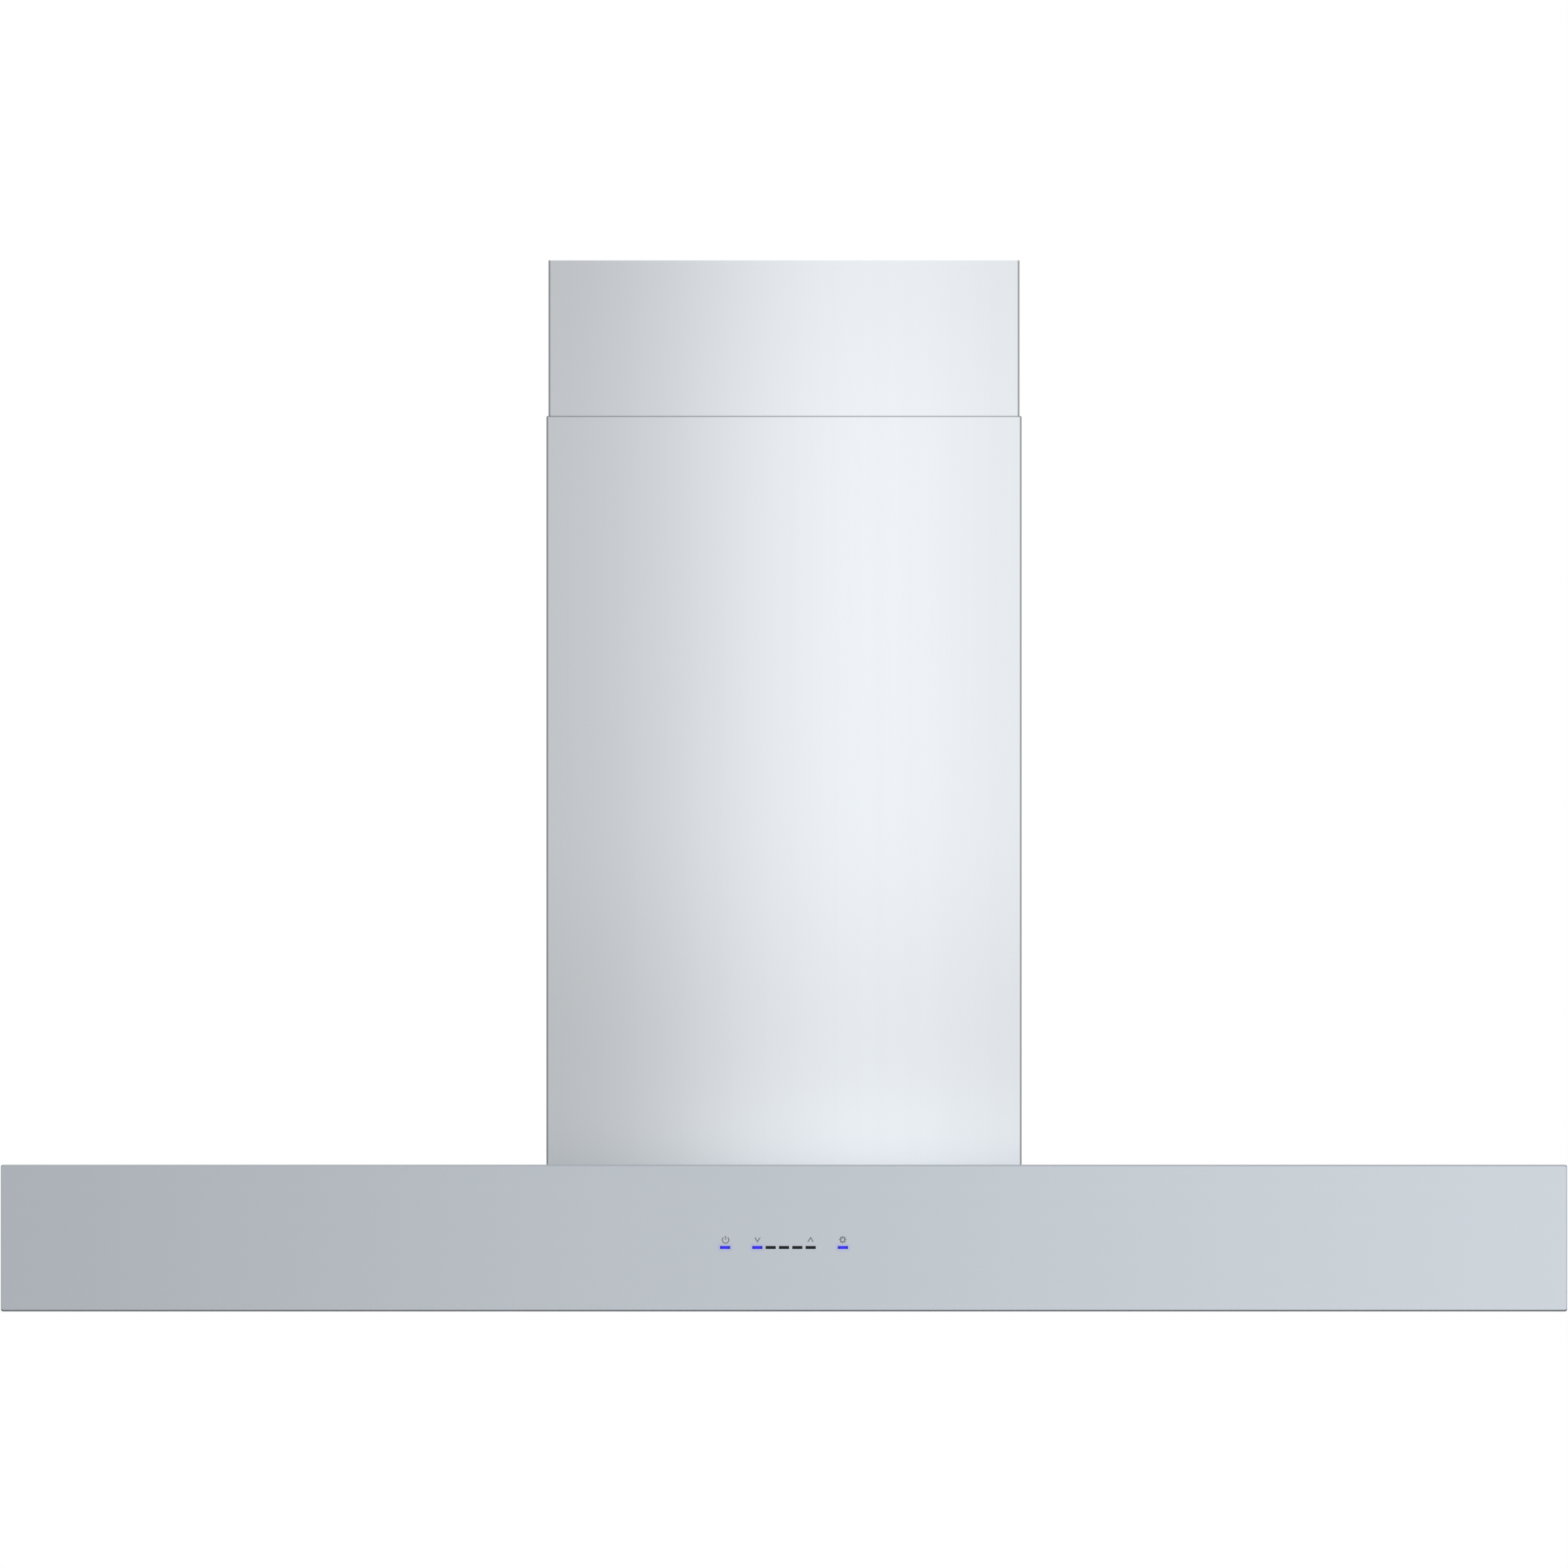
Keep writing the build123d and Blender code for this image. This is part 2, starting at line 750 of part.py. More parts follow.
# Blower box, open below, with flanges that screw down to the canopy
with BuildPart() as blower_box:
    with Locations((0, 0, canopy_top)):
        Box(blower_box_width, blower_box_depth, blower_box_height, align=centred_up)
        Box(
            box_inner_width,
            box_inner_depth,
            blower_box_height - sheet,
            align=centred_up,
            mode=Mode.SUBTRACT,
        )
    with BuildSketch(Plane.XY.offset(canopy_top)):
        with GridLocations(0, 2 * flange_screw_reach, 1, 2):
            Rectangle(blower_box_width - 4 * lower_leg, box_flange)
        with GridLocations(flange_screw_pitch, 2 * flange_screw_reach, 2, 2):
            Circle(screw_radius + hole_clearance, mode=Mode.SUBTRACT)
    extrude(amount=sheet)
    with BuildSketch(Plane.XY.offset(blower_box_top)):
        with Locations((0, outlet_y)):
            Rectangle(scroll_width, outlet_depth)
    extrude(amount=-2 * sheet, mode=Mode.SUBTRACT)
save(blower_box, "blower_box")
flange_seats = [
    Plane(origin=(x * flange_screw_pitch / 2, y * flange_screw_reach, canopy_top + sheet))
    for x, y in corners.values()
]
save(screws(flange_seats, 2 * sheet + screw_point), "blower_box_screws")


# Scroll housing
def scroll_face(grow, mode=Mode.ADD):
    """Air passage round the wheel, seen along its axis, grown outwards by a wall."""
    half = scroll_step / 2
    left = tongue_y - grow
    radius = scroll_radius + grow
    start = degrees(acos((left + half) / radius))
    tongue_rise = -half + radius * sin(radians(start))
    right = scroll_rear + grow
    with BuildLine() as outline:
        Line((left, scroll_rise), (left, tongue_rise))
        CenterArc((-half, -half), radius, start, 180 - start)
        CenterArc((half, -half), radius + scroll_step, 180, 90)
        CenterArc((half, half), radius + 2 * scroll_step, 270, 90)
        Line((right, half), (right, scroll_rise))
        Line((right, scroll_rise), (left, scroll_rise))
    make_face(outline.edges(), mode=mode)


def wheel_plane(x):
    """Plane across the wheel's axis at a place along it."""
    return Plane(origin=(x, wheel_y, wheel_z), x_dir=(0, 1, 0), z_dir=(1, 0, 0))


with BuildPart() as scroll_wrapper:
    with BuildSketch(wheel_plane(-scroll_width / 2)):
        scroll_face(sheet)
        scroll_face(0, Mode.SUBTRACT)
    extrude(amount=scroll_width)
save(scroll_wrapper, "scroll_wrapper")

for side, name in ((-1, "left"), (1, "right")):
    with BuildPart() as scroll_side:
        with BuildSketch(wheel_plane(side * scroll_width / 2)):
            scroll_face(sheet)
            Circle(inlet_radius + inlet_bead, mode=Mode.SUBTRACT)
        extrude(amount=side * sheet)
        with Locations(wheel_plane(side * (scroll_width + sheet) / 2)):
            Torus(inlet_radius + inlet_bead, inlet_bead)
    save(scroll_side, f"scroll_side_{name}")

# Wheel: two rings and a middle disc joined by leaning blades, on a hub
with BuildPart() as blower_wheel:
    for x in (-wheel_width / 2, wheel_width / 2 - wheel_ring_thickness):
        with BuildSketch(wheel_plane(x)):
            Circle(wheel_radius)
            Circle(wheel_radius - wheel_ring_width, mode=Mode.SUBTRACT)
        extrude(amount=wheel_ring_thickness)
    with BuildSketch(wheel_plane(-wheel_disc_thickness / 2)):
        Circle(wheel_radius)
    extrude(amount=wheel_disc_thickness)
    with BuildSketch(wheel_plane(-wheel_width / 2)):
        with PolarLocations(wheel_radius - wheel_ring_width / 2, blade_count):
            Rectangle(wheel_ring_width - 2 * blade_thickness, blade_thickness, rotation=blade_lean)
    extrude(amount=wheel_width)
    with BuildSketch(wheel_plane(-wheel_disc_thickness / 2)):
        Circle(hub_radius)
    extrude(amount=hub_length)
    with BuildSketch(wheel_plane(-hub_length)):
        Circle(shaft_radius + shaft_clearance)
    extrude(amount=3 * hub_length, mode=Mode.SUBTRACT)
save(blower_wheel, "blower_wheel")

# Motor: a can with a bearing in each end carries the rotor on the wheel's shaft
rotor_middle = (motor_inner_end + motor_outer_end) / 2
bearing_seat = bearing_inset + bearing_length
with BuildPart() as motor_housing:
    with BuildSketch(wheel_plane(motor_outer_end)):
        Circle(motor_radius)
    extrude(amount=motor_length)
    fillet(motor_housing.edges(), motor_shell)
    with BuildSketch(wheel_plane(motor_outer_end + motor_shell)):
        Circle(motor_radius - motor_shell)
    extrude(amount=motor_length - 2 * motor_shell, mode=Mode.SUBTRACT)
    with BuildSketch(wheel_plane(motor_outer_end), wheel_plane(motor_inner_end - bearing_seat)):
        Circle(bearing_radius + motor_shell)
    extrude(amount=bearing_seat)
    with BuildSketch(wheel_plane(motor_outer_end + bearing_inset)):
        Circle(bearing_radius)
    extrude(amount=motor_length - 2 * bearing_inset, mode=Mode.SUBTRACT)
    with BuildSketch(wheel_plane(motor_outer_end)):
        Circle(shaft_radius + hole_clearance)
    extrude(amount=motor_length, mode=Mode.SUBTRACT)
save(motor_housing, "motor_housing")

with BuildPart() as motor_bearings:
    with BuildSketch(
        wheel_plane(motor_outer_end + bearing_inset),
        wheel_plane(motor_inner_end - bearing_seat),
    ):
        Circle(bearing_radius)
        Circle(shaft_radius + shaft_clearance, mode=Mode.SUBTRACT)
    extrude(amount=bearing_length)
save(motor_bearings, "motor_bearings")

with BuildPart() as motor_shaft:
    with BuildSketch(wheel_plane(motor_outer_end - shaft_tail)):
        Circle(shaft_radius)
    extrude(amount=hub_length - wheel_disc_thickness / 2 + shaft_tail - motor_outer_end)
    with BuildSketch(wheel_plane(rotor_middle - rotor_length / 2)):
        Circle(rotor_radius)
    extrude(amount=rotor_length)
save(motor_shaft, "motor_shaft")

# Bracket: a band round the motor with arms to rubber grommets round the left inlet
grommet_circle = inlet_radius + grommet_from_inlet
with BuildPart() as motor_bracket:
    with BuildSketch(wheel_plane(motor_plane)):
        with PolarLocations((motor_radius + grommet_circle) / 2, arm_count, arm_start):
            Rectangle(grommet_circle - motor_radius, arm_width)
        with PolarLocations(grommet_circle, arm_count, arm_start):
            Circle(arm_width / 2)
        Circle(motor_radius + band_thickness)
        Circle(motor_radius, mode=Mode.SUBTRACT)
    extrude(amount=-arm_thickness)
    with BuildSketch(wheel_plane(motor_plane)):
        Circle(motor_radius + band_thickness)
        Circle(motor_radius, mode=Mode.SUBTRACT)
    extrude(amount=-band_width)
save(motor_bracket, "motor_bracket")

with BuildPart() as motor_grommets:
    with BuildSketch(wheel_plane(motor_plane)):
        with PolarLocations(grommet_circle, arm_count, arm_start):
            Circle(grommet_radius)
    extrude(amount=grommet_length)
save(motor_grommets, "motor_grommets")

# Outlet adapter: square flange on the blower box, lofted to a round duct collar. The damper's
# pin ends in blind holes, halfway through the collar's wall.
damper_pin_length = 2 * duct_radius - collar_wall
with BuildPart() as outlet_adapter:
    with BuildSketch(Plane.XY.offset(blower_box_top)):
        with Locations((0, outlet_y)):
            Rectangle(scroll_width + 2 * adapter_flange, outlet_depth + 2 * sheet)
    extrude(amount=adapter_plate)
    with BuildSketch(Plane.XY.offset(adapter_base)):
        with Locations((0, outlet_y)):
            Rectangle(scroll_width + 2 * collar_wall, outlet_depth + 2 * sheet)
    with BuildSketch(Plane.XY.offset(collar_base)):
        Circle(duct_radius)
    loft()
    with BuildSketch(Plane.XY.offset(collar_base)):
        Circle(duct_radius)
    extrude(amount=collar_height)
    with BuildSketch(Plane.XY.offset(blower_box_top)):
        with Locations((0, outlet_y)):
            Rectangle(scroll_width, outlet_depth)
    extrude(amount=adapter_plate, mode=Mode.SUBTRACT)
    with BuildSketch(Plane.XY.offset(adapter_base)):
        with Locations((0, outlet_y)):
            Rectangle(scroll_width, outlet_depth)
    with BuildSketch(Plane.XY.offset(collar_base)):
        Circle(duct_radius - collar_wall)
    loft(mode=Mode.SUBTRACT)
    with BuildSketch(Plane.XY.offset(collar_base)):
        Circle(duct_radius - collar_wall)
    extrude(amount=collar_height, mode=Mode.SUBTRACT)
    with BuildSketch(Plane.XY.offset(damper_z - flap_thickness / 2 - stop_gap)):
        Circle(duct_radius - collar_wall / 2)
        Circle(duct_radius - collar_wall - stop_width, mode=Mode.SUBTRACT)
    extrude(amount=-stop_thickness)
    with Locations(Plane(origin=(0, 0, damper_z), z_dir=(1, 0, 0))):
        Cylinder(
            damper_pin_radius + damper_clearance,
            damper_pin_length + damper_clearance,
            mode=Mode.SUBTRACT,
        )
save(outlet_adapter, "outlet_adapter")

# Butterfly damper: two half-round flaps on one pin, closed above a stop inside the collar
with BuildPart() as damper_pin:
    with Locations(Plane(origin=(0, 0, damper_z), z_dir=(1, 0, 0))):
        Cylinder(damper_pin_radius, damper_pin_length)
save(damper_pin, "damper_pin")

flap_radius = duct_radius - collar_wall - flap_edge_gap
for end, name in ((-1, "front"), (1, "rear")):
    knuckle_x = end * (damper_knuckle_start + damper_knuckle_length / 2)
    with BuildPart() as damper_flap:
        with BuildSketch(Plane.XY.offset(damper_z - flap_thickness / 2)):
            Circle(flap_radius)
            with Locations((0, end * (flap_hinge_gap - flap_radius))):
                Rectangle(2 * flap_radius, 2 * flap_radius, mode=Mode.SUBTRACT)
            with Locations((knuckle_x, end * flap_hinge_gap / 2)):
                Rectangle(damper_knuckle_length, flap_hinge_gap)
        extrude(amount=flap_thickness)
        with Locations(Plane(origin=(knuckle_x, 0, damper_z), z_dir=(1, 0, 0))):
            Cylinder(damper_knuckle_radius, damper_knuckle_length)
            Cylinder(
                damper_pin_radius + damper_clearance,
                2 * damper_knuckle_length,
                mode=Mode.SUBTRACT,
            )
    save(damper_flap, f"damper_flap_{name}")

# Junction box on the canopy, in front of the blower box
with BuildPart() as junction_box:
    with BuildSketch(Plane.XY.offset(canopy_top)):
        with Locations((0, junction_y)):
            Rectangle(junction_width, junction_rear - junction_front)
    extrude(amount=junction_height)
    with BuildSketch(Plane.XY.offset(canopy_top + junction_wall)):
        with Locations((0, junction_y - junction_wall)):
            Rectangle(junction_width - 2 * junction_wall, junction_rear - junction_front)
    extrude(amount=junction_height - 2 * junction_wall, mode=Mode.SUBTRACT)
    with Locations((0, junction_y, canopy_top + junction_height)):
        Cylinder(knockout_radius, 4 * junction_wall, mode=Mode.SUBTRACT)
    with Locations((supply_cable_x, junction_y, canopy_top)):
        Cylinder(cable_radius + hole_clearance, 4 * junction_wall, mode=Mode.SUBTRACT)
save(junction_box, "junction_box")

with BuildPart() as junction_cover:
    with BuildSketch(Plane.XY.offset(canopy_top)):
        with Locations((0, junction_front - junction_wall / 2)):
            Rectangle(junction_width, junction_wall)
    extrude(amount=junction_height)
save(junction_cover, "junction_cover")

# Control box under the canopy's roof, with its board on the cover's standoffs
supply_z = canopy_top - supply_cable_drop
control_z = canopy_top - control_cable_drop
control_box_rim = control_box_bottom + sheet
cable_hole = cable_radius + hole_clearance
with BuildPart() as control_box:
    with Locations((control_box_x, junction_y, control_box_rim)):
        Box(control_box_width, control_box_depth, control_box_height - sheet, align=centred_up)
        Box(
            control_box_width - 2 * sheet,
            control_box_depth - 2 * sheet,
            control_box_height - 2 * sheet,
            align=centred_up,
            mode=Mode.SUBTRACT,
        )
    with Locations(
        Plane(origin=(control_box_right, junction_y, supply_z), z_dir=(1, 0, 0)),
        Plane(origin=(control_box_x, control_box_front, control_z), z_dir=(0, 1, 0)),
    ):
        Cylinder(cable_hole, 4 * sheet, mode=Mode.SUBTRACT)
save(control_box, "control_box")

board_width = control_box_width - 2 * (sheet + board_margin)
board_depth = control_box_depth - 2 * (sheet + board_margin)
board_level = control_box_rim + standoff_height
with BuildPart() as control_box_cover:
    with Locations((control_box_x, junction_y, control_box_bottom)):
        Box(control_box_width, control_box_depth, sheet, align=centred_up)
    with Locations((control_box_x, junction_y, control_box_rim)):
        with GridLocations(board_width - 2 * board_margin, board_depth - 2 * board_margin, 2, 2):
            Cylinder(standoff_radius, standoff_height, align=centred_up)
save(control_box_cover, "control_box_cover")

with BuildPart() as power_board:
    with Locations((control_box_x, junction_y, board_level)):
        Box(board_width, board_depth, board_thickness, align=centred_up)
    with Locations((control_box_x, junction_y, board_level + board_thickness)):
        with GridLocations(relay_pitch, relay_pitch, relay_columns, relay_rows):
            Box(relay_width, relay_depth, relay_height, align=centred_up)
save(power_board, "power_board")


# Wiring inside the canopy
def cable(points, bend):
    """Round cable along straight runs joined by tangent bends."""
    with BuildLine() as route:
        FilletPolyline(*points, radius=bend)
    with BuildPart() as tube:
        with BuildSketch(Plane(origin=route.line @ 0, z_dir=route.line % 0)):
            Circle(cable_radius)
        sweep(path=route.line)
    return tube


def spread(first, last, count):
    """Evenly spaced places between two ends, the ends left out."""
    return [first + (last - first) * (i + 1) / (count + 1) for i in range(count)]


wall_inside = canopy_front + sheet
board_rear = wall_inside + guide_depth + board_thickness
carrier_rear = wall_inside + carrier_depth
control_y = (board_rear + carrier_rear - carrier_wall) / 2
carrier_width = guide_width + 2 * (touch_board_fit + carrier_wall)
carrier_left = -carrier_width / 2
supply_route = [
    (supply_cable_x, junction_y, canopy_top + junction_wall + cable_end),
    (supply_cable_x, junction_y, supply_z),
    (control_box_right - sheet - cable_end, junction_y, supply_z),
]
save(cable(supply_route, supply_cable_bend), "supply_cable")
control_route = [
    (control_box_x, control_box_front + sheet + cable_end, control_z),
    (control_box_x, control_y, control_z),
    (carrier_left + carrier_wall + cable_end, control_y, control_z),
]
save(cable(control_route, control_cable_bend), "control_cable")

clip_radius = cable_radius + clip_clearance + clip_wall
supply_clip_places = spread(control_box_right, supply_cable_x, supply_clip_count)
control_clip_places = spread(
    control_box_x + control_cable_bend, carrier_left, control_clip_count
)
with BuildPart() as cable_clips:
    # Clips on the supply cable hang from the roof.
    with BuildSketch(*[
        Plane(origin=(x, junction_y, supply_z), x_dir=(0, 1, 0), z_dir=(1, 0, 0))
        for x in supply_clip_places
    ]):
        Circle(clip_radius)
        with Locations((0, (canopy_roof - supply_z) / 2)):
            Rectangle(2 * clip_wall, canopy_roof - supply_z)
        Circle(cable_radius + clip_clearance, mode=Mode.SUBTRACT)
    extrude(amount=clip_width / 2, both=True)
    # Clips on the control cable stand on the inside of the front wall.
    with BuildSketch(*[
        Plane(origin=(x, control_y, control_z), x_dir=(0, 1, 0), z_dir=(1, 0, 0))
        for x in control_clip_places
    ]):
        Circle(clip_radius)
        with Locations(((wall_inside - control_y) / 2, 0)):
            Rectangle(control_y - wall_inside, 2 * clip_wall)
        Circle(cable_radius + clip_clearance, mode=Mode.SUBTRACT)
    extrude(amount=clip_width / 2, both=True)
save(cable_clips, "cable_clips")

# Touch control behind the canopy's front wall
with BuildPart() as light_guide:
    with BuildSketch(front_plane(0, wall_inside, indicator_z)):
        Rectangle(guide_width, guide_height)
    extrude(amount=-guide_depth)
    with BuildSketch(front_plane(0, wall_inside, indicator_z)):
        with Locations(*[(x, 0) for x in indicator_places]):
            Rectangle(indicator_width, indicator_height)
    extrude(amount=sheet)
save(light_guide, "light_guide")

touch_height = touch_board_rise + touch_board_drop
touch_z = indicator_z + (touch_board_rise - touch_board_drop) / 2
with BuildPart() as touch_board:
    with BuildSketch(front_plane(0, wall_inside + guide_depth, touch_z)):
        Rectangle(guide_width, touch_height)
    extrude(amount=-board_thickness)
save(touch_board, "touch_board")

with BuildPart() as touch_carrier:
    with BuildSketch(front_plane(0, wall_inside, touch_z)):
        Rectangle(carrier_width, touch_height + 2 * (touch_board_fit + carrier_wall))
    extrude(amount=-carrier_depth)
    with BuildSketch(front_plane(0, wall_inside, touch_z)):
        Rectangle(guide_width + 2 * touch_board_fit, touch_height + 2 * touch_board_fit)
    extrude(amount=carrier_wall - carrier_depth, mode=Mode.SUBTRACT)
    with BuildSketch(front_plane(0, board_rear, touch_z)):
        with GridLocations(
            guide_width - 2 * carrier_pillar_inset, touch_height - 2 * carrier_pillar, 2, 2
        ):
            Circle(carrier_pillar)
    extrude(amount=board_rear - carrier_rear)
    with Locations(Plane(origin=(carrier_left, control_y, control_z), z_dir=(1, 0, 0))):
        Cylinder(cable_hole, 3 * carrier_wall, mode=Mode.SUBTRACT)
save(touch_carrier, "touch_carrier")

# Lamps: cups snapped into the underside panel, each closed by a frosted lens
lens_radius = lamp_radius - lamp_wall - lens_fit
lamp_bottom = panel_floor - lamp_flange_thickness
lens_top = lamp_bottom + lens_recess + lens_thickness
with BuildPart() as lamp_housings:
    with BuildSketch(Plane.XY.offset(lamp_bottom)):
        with Locations(*lamp_places):
            Circle(lamp_radius + lamp_flange)
    extrude(amount=lamp_flange_thickness)
    with BuildSketch(Plane.XY.offset(panel_floor)):
        with Locations(*lamp_places):
            Circle(lamp_radius)
    extrude(amount=lamp_height)
    with BuildSketch(Plane.XY.offset(panel_floor + sheet + lamp_fit)):
        with Locations(*lamp_places):
            Rectangle(2 * (lamp_radius + lamp_tab_reach), lamp_tab_width)
    extrude(amount=lamp_tab_height)
    with BuildSketch(Plane.XY.offset(lamp_bottom)):
        with Locations(*lamp_places):
            Circle(lamp_radius - lamp_wall)
    extrude(amount=lens_top - lamp_bottom, mode=Mode.SUBTRACT)
    with BuildSketch(Plane.XY.offset(lens_top)):
        with Locations(*lamp_places):
            Circle(lens_radius - lens_ledge)
    extrude(amount=panel_floor + lamp_height - lamp_wall - lens_top, mode=Mode.SUBTRACT)
save(lamp_housings, "lamp_housings")

with BuildPart() as lamp_lenses:
    with BuildSketch(Plane.XY.offset(lens_top)):
        with Locations(*lamp_places):
            Circle(lens_radius)
    extrude(amount=-lens_thickness)
save(lamp_lenses, "lamp_lenses")

# Baffle filters: a channel frame round staggered channels, hung on rear pins
filter_top = panel_floor + filter_height
rear_flange = filter_side_flange + pivot_inset
pin_reach = filter_gap + sheet + lug_thickness
pull_front = filter_front + finger_slot_edge + finger_room
pull_rear = pull_front + pull_thickness
finger_slot_front = filter_front + finger_slot_edge
finger_slot_rear = pull_rear + latch_travel + latch_clearance
latch_front = filter_front + sheet + latch_clearance
latch_rear = pull_rear + latch_tail
guide_rear = latch_rear + latch_travel
guide_top = latch_z + latch_thickness + latch_clearance + latch_guide_lip
mesh_front = guide_rear + baffle_clear + baffle_seat
mesh_rear = filter_rear - rear_flange
mesh_middle = (mesh_front + mesh_rear) / 2
mesh_width = filter_width - 2 * filter_side_flange


def rounded_block(x, wall):
    """Filter outline shrunk by a wall, its rear lower edge turned round the pivot."""
    with BuildPart() as block:
        with BuildSketch(Plane(origin=(x, 0, 0), x_dir=(0, 1, 0), z_dir=(1, 0, 0))) as side_face:
            with Locations((0, panel_floor + filter_height / 2)):
                Rectangle(filter_depth - 2 * wall, filter_height - 2 * wall)
            corner = side_face.vertices().group_by(Axis.Y)[0].sort_by(Axis.X)[-1]
            fillet(corner, pivot_inset - wall)
        extrude(amount=filter_width / 2 - wall, both=True)
    return block


def filter_frame(x):
    """Hollow frame with pivot pins, a finger slot and the latch's guides in its front rail."""
    outside = rounded_block(x, 0)
    inside = rounded_block(x, sheet)
    with BuildPart() as frame:
        add(outside.part)
        add(inside.part, mode=Mode.SUBTRACT)
        with BuildSketch(Plane.XY.offset(panel_floor)):
            with Locations((x, mesh_middle)):
                Rectangle(mesh_width, mesh_rear - mesh_front)
            with Locations((x, (finger_slot_front + finger_slot_rear) / 2)):
                Rectangle(pull_width + 2 * latch_clearance, finger_slot_rear - finger_slot_front)
        extrude(amount=2 * sheet, mode=Mode.SUBTRACT)
        with BuildSketch(Plane.XY.offset(filter_top)):
            with Locations((x, mesh_middle)):
                Rectangle(filter_width - 2 * filter_top_flange, mesh_rear - mesh_front)
        extrude(amount=-2 * sheet, mode=Mode.SUBTRACT)
        with BuildSketch(front_plane(x, filter_front, panel_floor)):
            guide_base = (sheet + guide_top - panel_floor) / 2
            guide_middle = (latch_width + latch_guide_wall - latch_guide_cover) / 2
            with Locations((guide_middle, guide_base), (-guide_middle, guide_base)):
                Rectangle(latch_guide_cover + latch_guide_wall, guide_top - panel_floor - sheet)
        extrude(amount=filter_front - guide_rear)
        with BuildSketch(front_plane(x, latch_front - latch_clearance, panel_floor)):
            with Locations((0, latch_z - panel_floor + latch_thickness / 2)):
                Rectangle(
                    latch_width + 2 * latch_clearance, latch_thickness + 2 * latch_clearance
                )
        extrude(amount=filter_front - guide_rear, mode=Mode.SUBTRACT)
        with BuildSketch(front_plane(x, filter_front, panel_floor)):
            with Locations((0, latch_z - panel_floor + latch_thickness / 2)):
                Rectangle(
                    tongue_width + 2 * latch_clearance, latch_thickness + 2 * latch_clearance
                )
        extrude(amount=-2 * sheet, mode=Mode.SUBTRACT)
        for side in (-1, 1):
            pin_base = x + side * (filter_width / 2 - sheet)
            with Locations(Plane(origin=(pin_base, pivot_y, pivot_z), z_dir=(side, 0, 0))):
                Cylinder(pivot_radius, sheet + pin_reach, align=centred_up)
    return frame


def filter_baffles(x):
    """Channels that open upwards, with caps over the slots between them."""
    front, rear = mesh_front - baffle_seat, mesh_rear + baffle_seat
    pitch = mesh_width / baffle_count
    tray_width = pitch - baffle_slot
    cap_width = baffle_slot + 2 * baffle_overlap
    with BuildPart() as baffles:
        with BuildSketch(front_plane(x, front, panel_floor + sheet + baffle_depth / 2)):
            with GridLocations(pitch, 0, baffle_count, 1):
                Rectangle(tray_width, baffle_depth)
                with Locations((0, baffle_wall)):
                    Rectangle(tray_width - 2 * baffle_wall, baffle_depth, mode=Mode.SUBTRACT)
        extrude(amount=front - rear)
        with BuildSketch(front_plane(x, front, filter_top - sheet - baffle_depth / 2)):
            with GridLocations(pitch, 0, baffle_count - 1, 1):
                Rectangle(cap_width, baffle_depth)
                with Locations((0, -baffle_wall)):
                    Rectangle(cap_width - 2 * baffle_wall, baffle_depth, mode=Mode.SUBTRACT)
        extrude(amount=front - rear)
    return baffles


def filter_latch(x):
    """Sliding plate whose tongue rests over the opening's rim, with a pull for one finger."""
    with BuildPart() as latch:
        with BuildSketch(Plane.XY.offset(latch_z)):
            with Locations((x, (latch_front + latch_rear) / 2)):
                Rectangle(latch_width, latch_rear - latch_front)
            with Locations((x, (filter_front - latch_reach + latch_rear) / 2)):
                Rectangle(tongue_width, latch_rear - filter_front + latch_reach)
        extrude(amount=latch_thickness)
        with BuildSketch(Plane.XY.offset(panel_floor + pull_recess)):
            with Locations((x, (pull_front + pull_rear) / 2)):
                Rectangle(pull_width, pull_thickness)
        extrude(amount=latch_z - panel_floor - pull_recess)
    return latch


for name, x in zip(filter_names, filter_places):
    save(filter_frame(x), f"filter_frame_{name}")
    save(filter_baffles(x), f"filter_baffles_{name}")
    save(filter_latch(x), f"filter_latch_{name}")
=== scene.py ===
import math
from functools import partial

import bmesh
import bpy
from bpy.props import FloatProperty, FloatVectorProperty, IntProperty, PointerProperty
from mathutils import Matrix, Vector


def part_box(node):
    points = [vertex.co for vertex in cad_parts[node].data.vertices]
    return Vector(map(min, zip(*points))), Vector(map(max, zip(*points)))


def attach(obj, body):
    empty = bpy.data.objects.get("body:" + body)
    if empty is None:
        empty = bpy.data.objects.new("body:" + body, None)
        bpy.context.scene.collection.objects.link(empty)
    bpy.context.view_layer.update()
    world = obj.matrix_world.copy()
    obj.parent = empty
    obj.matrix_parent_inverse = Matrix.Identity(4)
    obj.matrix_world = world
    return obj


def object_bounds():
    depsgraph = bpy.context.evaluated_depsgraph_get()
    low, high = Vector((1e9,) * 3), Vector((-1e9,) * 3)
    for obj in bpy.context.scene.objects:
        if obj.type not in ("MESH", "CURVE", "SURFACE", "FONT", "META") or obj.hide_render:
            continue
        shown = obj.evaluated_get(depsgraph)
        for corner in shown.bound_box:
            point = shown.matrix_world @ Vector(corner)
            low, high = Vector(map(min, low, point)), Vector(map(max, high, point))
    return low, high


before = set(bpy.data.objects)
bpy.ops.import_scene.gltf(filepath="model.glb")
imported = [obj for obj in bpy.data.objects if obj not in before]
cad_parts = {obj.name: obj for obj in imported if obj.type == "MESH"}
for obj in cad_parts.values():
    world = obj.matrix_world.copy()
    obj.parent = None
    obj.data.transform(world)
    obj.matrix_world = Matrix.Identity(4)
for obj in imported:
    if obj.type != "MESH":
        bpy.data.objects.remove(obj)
cad_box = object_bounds()

bl_info = {
    "name": "Island range hood",
    "version": (1, 0, 0),
    "blender": (4, 5, 0),
    "location": "View3D > Sidebar > Hood",
    "description": "Dresses a ceiling-hung island range hood in its finishes and sets its studio",
    "category": "Object",
}

